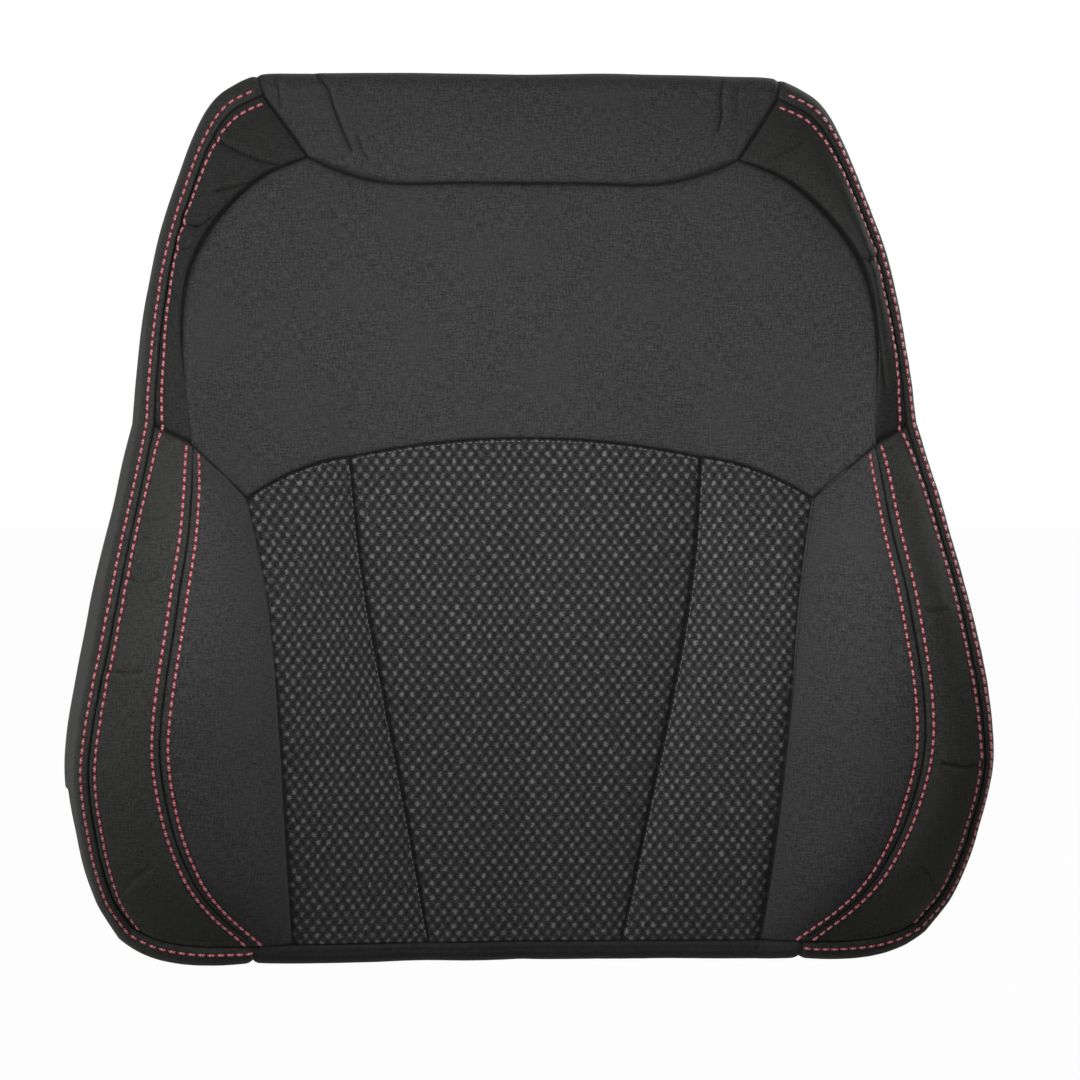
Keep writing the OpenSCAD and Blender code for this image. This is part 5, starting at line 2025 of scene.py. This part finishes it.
    def build_stitches(self) -> None:
        """Sews the twin red rows and the fine grey rows, which run just below the arch seam."""
        red = StitchStyle(5.5, 1.75, 0.5, self.sewing.pitch, 0.6)
        grey = StitchStyle(2.1, 0.55, 0.16, 3.3, 2.0, 0.2, 5, 5)
        at, span = self.sewing.row_at, slice(self.grids.foot_at, self.grids.corner_at + 1)
        for side in Side:
            low = self._row("wing", side, at, lambda g: g[:, ::-1])
            high = self._row("shoulder", side, at, lambda g: g[:, ::-1])
            high = (*high[:2], high[2] + low[2][-1])
            twin = [
                self._row("bolster", side, at, lambda g: g[:, ::-1]),
                self._row("wing", side, at, lambda g: g),
                self._row("edge", side, at, lambda g: g[:, span].transpose(1, 0, 2)),
                tuple(np.concatenate([a, b[1:]]) for a, b in zip(low, high)),
            ]
            self._sew(f"red_stitches_{side.label}", twin, red, self.materials["red"])
            fine = [self._row("mesh_side", side, 1.5, lambda g: g)]
            for grid in ("mesh_centre", "mesh_side"):
                fine.append(self._row(grid, side, 1.7, lambda g: g[::-1].transpose(1, 0, 2)))
            self._sew(f"grey_stitches_{side.label}", fine, grey, self.materials["grey"])

    def _sew(self, name: str, rows: Sequence[Path], style: StitchStyle, material: Material) -> None:
        """Lays a stitch at each place of each row, as one piece.

        Args:
            name: name of the piece.
            rows: the paths.
            style: size and spacing of the stitches.
            material: the thread.
        """
        bead, blocks, coords = style.bead()
        points, faces, start = [], [], 0
        for row in rows:
            centre, tangent, normal = frames_on(row, style)
            axes = np.stack([tangent, np.cross(normal, tangent), normal], 1)
            points.append((centre[:, None] + bead[None] @ axes).reshape(-1, 3))
            shifts = start + np.arange(len(centre)) * len(bead)
            for block in blocks:
                faces += (block[None] + shifts[:, None, None]).reshape(-1, block.shape[1]).tolist()
            start += len(centre) * len(bead)
        cloth = np.tile(coords, (start // len(bead), 1))
        piece = self.maker.mesh_object(name, np.concatenate(points), faces, cloth, 70)
        self.maker.finish(piece, material, "plain_cloth")


# Pad and rear panel -------------------------------------------------------


@dataclass(frozen=True)
class FoamPad:
    """Moulded pad under the cover, with a channel for the frame round its back.

    Sizes are in millimetres, and the level counts the cover's thickness.
    """

    level: float = 1.08
    step: int = 5
    rim: Pair = (27.2, 29.44)
    slope: float = 0.04
    hoop_bay: float = 22.5
    member_bay: float = 13
    member_from: Pair = (140.3, 162)
    block_x: float = 174
    bay_y: float = 46
    sections: tuple[float, ...] = (0, 0.5, 1, 1.5, 2, 2.5, 3, 3.7, 4.4, 5.2, 6)

    def build(self, cover: Cover, pocket: Pocket, openings: Openings) -> None:
        """Front grids at the pad's level, a coarse edge and the stepped back, as one closed mesh.

        Args:
            cover: the cover, whose shape the pad follows.
            pocket: room for the recliners.
            openings: room for the guides.
        """
        grids, shape, maker = cover.grids, cover.shape, cover.maker
        bands, ring = grids.coarse(self.step)
        node = grids.half[ring]
        edge = grids.edge(self.level, np.array(self.sections))[:, ring]
        edge[0] = shape.laid(node, self.level)
        middle = (shape.roll_foot + shape.seam_z) / 2
        scale_x, scale_z = 1 - self.rim[0] / shape.waist_x, 1 - self.rim[1] / (shape.seam_z - middle)
        block = self.block_x / (shape.widest_x * scale_x) - self.slope

        def loop(size: float, y: float | None = None) -> Array:
            """Scaled copy of the outline at the back, at a depth or in the frame's channel.

            Args:
                size: scale of the copy.
                y: its depth, or None for the channel's.

            Returns:
                Its points.
            """
            x = node[:, 0] * scale_x * size
            z = middle + (node[:, 1] - middle) * scale_z * size
            bay = lerp(self.hoop_bay, self.member_bay, ease(*self.member_from, np.abs(x)))
            return np.stack([x, bay if y is None else 0 * x + y, z], 1)

        rear = np.stack([edge[-1], loop(1), loop(block + self.slope), loop(block, self.bay_y)])
        fronts = [shape.laid(band, self.level) for band in bands]
        sheets = [*(whole(front, front) for front in fronts), around(edge), around(rear)]
        hub = np.array([0, self.bay_y, middle])
        piece = maker.closed("foam_pad_moulding", sheets, (False, False, False, True, True), 60, hub)
        maker.cut(piece, *(pocket.tool(maker, side, 1) for side in Side))
        maker.cut(piece, *openings.sockets(maker), *openings.caps(maker))
        maker.finish(piece, cover.materials["foam"], "moulded_foam", "foam_pad", 1.0)


@dataclass(frozen=True)
class RearShell:
    """Moulded rear panel: a domed shell with a knee recess, in millimetres."""

    step: int = 3
    sharp: float = 35
    wall: float = 3
    dome: float = 7
    knee: float = 5
    gap: float = 0.2
    knee_x: Pair = (58, 118)
    knee_foot: Pair = (52, 92)
    knee_head: Pair = (322, 372)

    def build(self, cover: Cover, pocket: Pocket) -> None:
        """Rear face, inside face and rim as one closed mesh, with walls at the pockets.

        Args:
            cover: the cover, whose nodes the shell follows.
            pocket: room for the recliners.
        """
        maker = cover.maker
        piece, filled = self._body(cover, 1), self._body(cover, 2)
        for side in Side:
            wall = filled.copy()
            wall.data = filled.data.copy()
            bpy.context.scene.collection.objects.link(wall)
            outer, inner = pocket.tool(maker, side, self.wall), pocket.tool(maker, side, 0)
            maker.combine(wall, outer, "INTERSECT")
            maker.combine(piece, wall, "UNION")
            maker.cut(piece, inner)
            maker.discard(wall, outer)
        maker.discard(filled)
        maker.finish(piece, cover.materials["panel"], "panel_plastic", "rear_panel")

    def _body(self, cover: Cover, inside: int) -> Piece:
        """Makes the closed shell, or the same filled to the pad's rear plane.

        Args:
            cover: the cover.
            inside: layer of its inside, 1, or 2 for the filled one.

        Returns:
            The object.
        """
        bands, _ = cover.grids.coarse(self.step)
        outline = around(cover.grids.half[None])[0, ::3, :2]
        layers = [self._layer(cover.shape, band, outline, layer) for layer in (0, inside) for band in bands]
        sheets = [whole(layer, layer) for layer in layers]
        rims = []
        for low, high, top in (sheets[:3], sheets[3:]):
            head = top[-1, ::-1][1 : top.shape[1] // 2 + 1]
            right = np.concatenate([low[0, low.shape[1] // 2 :], low[1:, -1], high[1:, -1], head])
            rims.append(around(right[None])[0])
        sheets.append(np.stack(rims))
        piece = cover.maker.closed(
            "rear_panel_shell", sheets, (True, True, True, False, False, False, False), self.sharp
        )
        piece.data.shade_smooth()
        piece.data.set_sharp_from_angle(angle=math.radians(self.sharp))
        return piece

    def _layer(self, shape: CoverShape, flat: Array, outline: Array, layer: int) -> Array:
        """Points of one layer. The dome climbs with the distance in from the outline.

        Args:
            shape: the cover's shape.
            flat: flat nodes.
            outline: points of the outline.
            layer: 0 for the rear face, 1 for the inside face, 2 for the pad's rear plane.

        Returns:
            A grid of points.
        """
        x, z = flat[..., 0], flat[..., 1]
        swell = through(self._rim_distance(flat[..., :2], outline), [(0, 0), (9, 0.6), (18, 0.92), (30, 1)])
        knee = (1 - ease(*self.knee_x, np.abs(x))) * ease(*self.knee_foot, z) * (1 - ease(*self.knee_head, z))
        inside = shape.rear_y + self.gap
        rise = self.dome * swell - self.knee * knee
        y = 0 * x + inside if layer == 2 else inside + rise + self.wall * (1 - layer)
        return np.stack([x, y, z], -1)

    @staticmethod
    def _rim_distance(places: Array, outline: Array) -> Array:
        """Distance from the outline's nearest point, a part at a time to save memory.

        Args:
            places: grid of x and z.
            outline: points of the outline.

        Returns:
            A grid of distances.
        """
        flat = places.reshape(-1, 2)
        found = np.empty(len(flat))
        for part in np.array_split(np.arange(len(flat)), 24):
            found[part] = np.sqrt(((flat[part, None] - outline[None]) ** 2).sum(-1)).min(1)
        return found.reshape(places.shape[:-1])


# Hardware -----------------------------------------------------------------


class Hardware:
    """Frame, springs, guides and recliners, which keep their own solids.

    A star in a name stands for the left and the right one.
    """

    SOLIDS = {
        "paint": ("side_member_*", "hoop_tube", "lower_cross_member", "headrest_socket_*"),
        "wire": ("suspension_mat", "hanger_rod"),
        "cord": ("mat_cords",),
        "guide": ("headrest_guide_*",),
        "button": ("guide_lock_button",),
        "clip": ("rear_panel_clips",),
        "plated": ("recliner_gear_plate_*", "recliner_base_plate_*"),
        "ring": ("recliner_ring_*",),
        "shaft": ("release_shaft",),
        "spring": ("shaft_clips",),
    }

    def dress(self, materials: Materials) -> None:
        """Puts the finishes on the solids' own material slots.

        Args:
            materials: the finishes' materials.
        """
        for finish, names in self.SOLIDS.items():
            for name in names:
                for node in dict.fromkeys(name.replace("*", side.label) for side in Side):
                    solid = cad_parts[node]
                    if not solid.material_slots:
                        solid.data.materials.append(materials[finish])
                    for slot in solid.material_slots:
                        slot.material = materials[finish]
                    LOG.info("%s: %s", node, finish)


# Stage --------------------------------------------------------------------


@dataclass(frozen=True)
class Studio:
    """Pale floor, soft lights and the camera, in metres and degrees."""

    turn: float = -8.0
    lift: float = 0.6
    distance: float = 4.0
    sensor: float = 36
    picture: float = 1080
    per_pixel: float = 0.0006
    centre_at: Pair = (524.7, 516.5)
    aim: tuple[float, float, float] = (0, 0, 0.267)
    floor_size: float = 30.0
    lamps: tuple[tuple[str, tuple[float, float, float], float, float], ...] = (
        ("key_lamp", (-0.06, -0.47, 0.405), 0.24, 1.9),
        ("fill_lamp", (-1.65, -0.52, 0.22), 1.1, 15.0),
        ("rear_lamp", (1.25, 0.95, 1.25), 0.8, 26),
    )

    def build(self) -> None:
        """Makes the whole stage."""
        self._floor()
        self._world()
        for name, place, size, power in self.lamps:
            self._lamp(name, Vector(place), size, power)
        self._camera()

    def _floor(self) -> None:
        """A wide floor that camera, gloss and glass see nearly white, with the shadow kept."""
        mesh = bpy.data.meshes.new("floor")
        corners = [
            (x * self.floor_size, y * self.floor_size, 0) for x, y in ((-1, -1), (1, -1), (1, 1), (-1, 1))
        ]
        mesh.from_pydata(corners, [], [(0, 1, 2, 3)])
        floor = bpy.data.objects.new("floor", mesh)
        bpy.context.scene.collection.objects.link(floor)
        g = Graph("floor_white")
        seen = self._seen(g)
        tone = g.blend((0.16, 0.16, 0.16), (0.18, 0.18, 0.18), g.noise(g.place(), 0.002, 2))
        matt = g.add("ShaderNodeBsdfDiffuse", {}, {"Color": tone})
        glow = g.add("ShaderNodeEmission", {}, {"Color": (1, 1, 1), "Strength": 1.02})
        mixed = g.add("ShaderNodeMixShader", {}, {0: seen * 0.96, 1: matt, 2: glow})
        g.add("ShaderNodeOutputMaterial", {}, {"Surface": mixed})
        mesh.materials.append(g.owner)

    @staticmethod
    def _seen(g: Graph) -> Value:
        """1 for rays from the camera, from gloss and through glass.

        Args:
            g: the graph that asks.

        Returns:
            The mask.
        """
        path = g.add("ShaderNodeLightPath").socket.node
        rays = [Value(g, path.outputs[n]) for n in ("Is Camera Ray", "Is Glossy Ray", "Is Transmission Ray")]
        return (rays[0] + rays[1] + rays[2]).step(0.0, 1.0)

    def _world(self) -> None:
        """White to the camera and in gloss, and a soft grey light elsewhere."""
        g = Graph("studio", "worlds")
        bpy.context.scene.world = g.owner
        light = g.add(
            "ShaderNodeBackground", {}, {"Color": (1, 1, 1), "Strength": self._seen(g) * 0.94 + 0.06}
        )
        g.add("ShaderNodeOutputWorld", {}, {"Surface": light})

    def _lamp(self, name: str, place: Vector, size: float, power: float) -> None:
        """Makes a square area lamp that looks at the backrest's middle.

        Args:
            name: name of the lamp.
            place: where it stands.
            size: its side.
            power: its power in watts.
        """
        data = bpy.data.lights.new(name, "AREA")
        data.shape, data.size, data.energy = "SQUARE", size, power
        lamp = bpy.data.objects.new(name, data)
        lamp.location = place
        lamp.visible_camera = False
        lamp.rotation_euler = (Vector(self.aim) - place).to_track_quat("-Z", "Y").to_euler()
        bpy.context.scene.collection.objects.link(lamp)

    def _camera(self) -> None:
        """Long lens whose picture puts the middle of the backrest at its place."""
        a, e = math.radians(self.turn), math.radians(self.lift)
        back = Vector((math.sin(a) * math.cos(e), -math.cos(a) * math.cos(e), math.sin(e)))
        right = Vector((math.cos(a), math.sin(a), 0))
        half = self.picture / 2
        shift = right * (half - self.centre_at[0]) * self.per_pixel
        shift -= back.cross(right) * (half - self.centre_at[1]) * self.per_pixel
        data = bpy.data.cameras.new("camera")
        data.sensor_width = self.sensor
        data.lens = self.sensor * self.distance / (self.picture * self.per_pixel)
        data.clip_end = 100
        camera = bpy.data.objects.new("camera", data)
        camera.location = Vector(self.aim) + shift + back * self.distance
        camera.rotation_mode = "QUATERNION"
        camera.rotation_quaternion = (-back).to_track_quat("-Z", "Y")
        bpy.context.scene.collection.objects.link(camera)
        bpy.context.scene.camera = camera


def main() -> None:
    """Builds the stage and every sub-assembly in order."""
    logging.basicConfig(level=logging.INFO, format="%(message)s")
    bpy.context.scene.view_settings.view_transform = "Standard"
    Studio().build()
    maker, pocket, openings = Maker(), Pocket(), Openings()
    materials = {key: finish.make() for key, finish in FINISHES.items()}
    cover = Cover(maker, materials)
    cover.build_front()
    cover.build_top(openings)
    cover.build_edges(pocket)
    cover.build_stitches()
    FoamPad().build(cover, pocket, openings)
    RearShell().build(cover, pocket)
    Hardware().dress(materials)
    LOG.info("%d pieces made", maker.count)


if __name__ == "__main__":
    main()
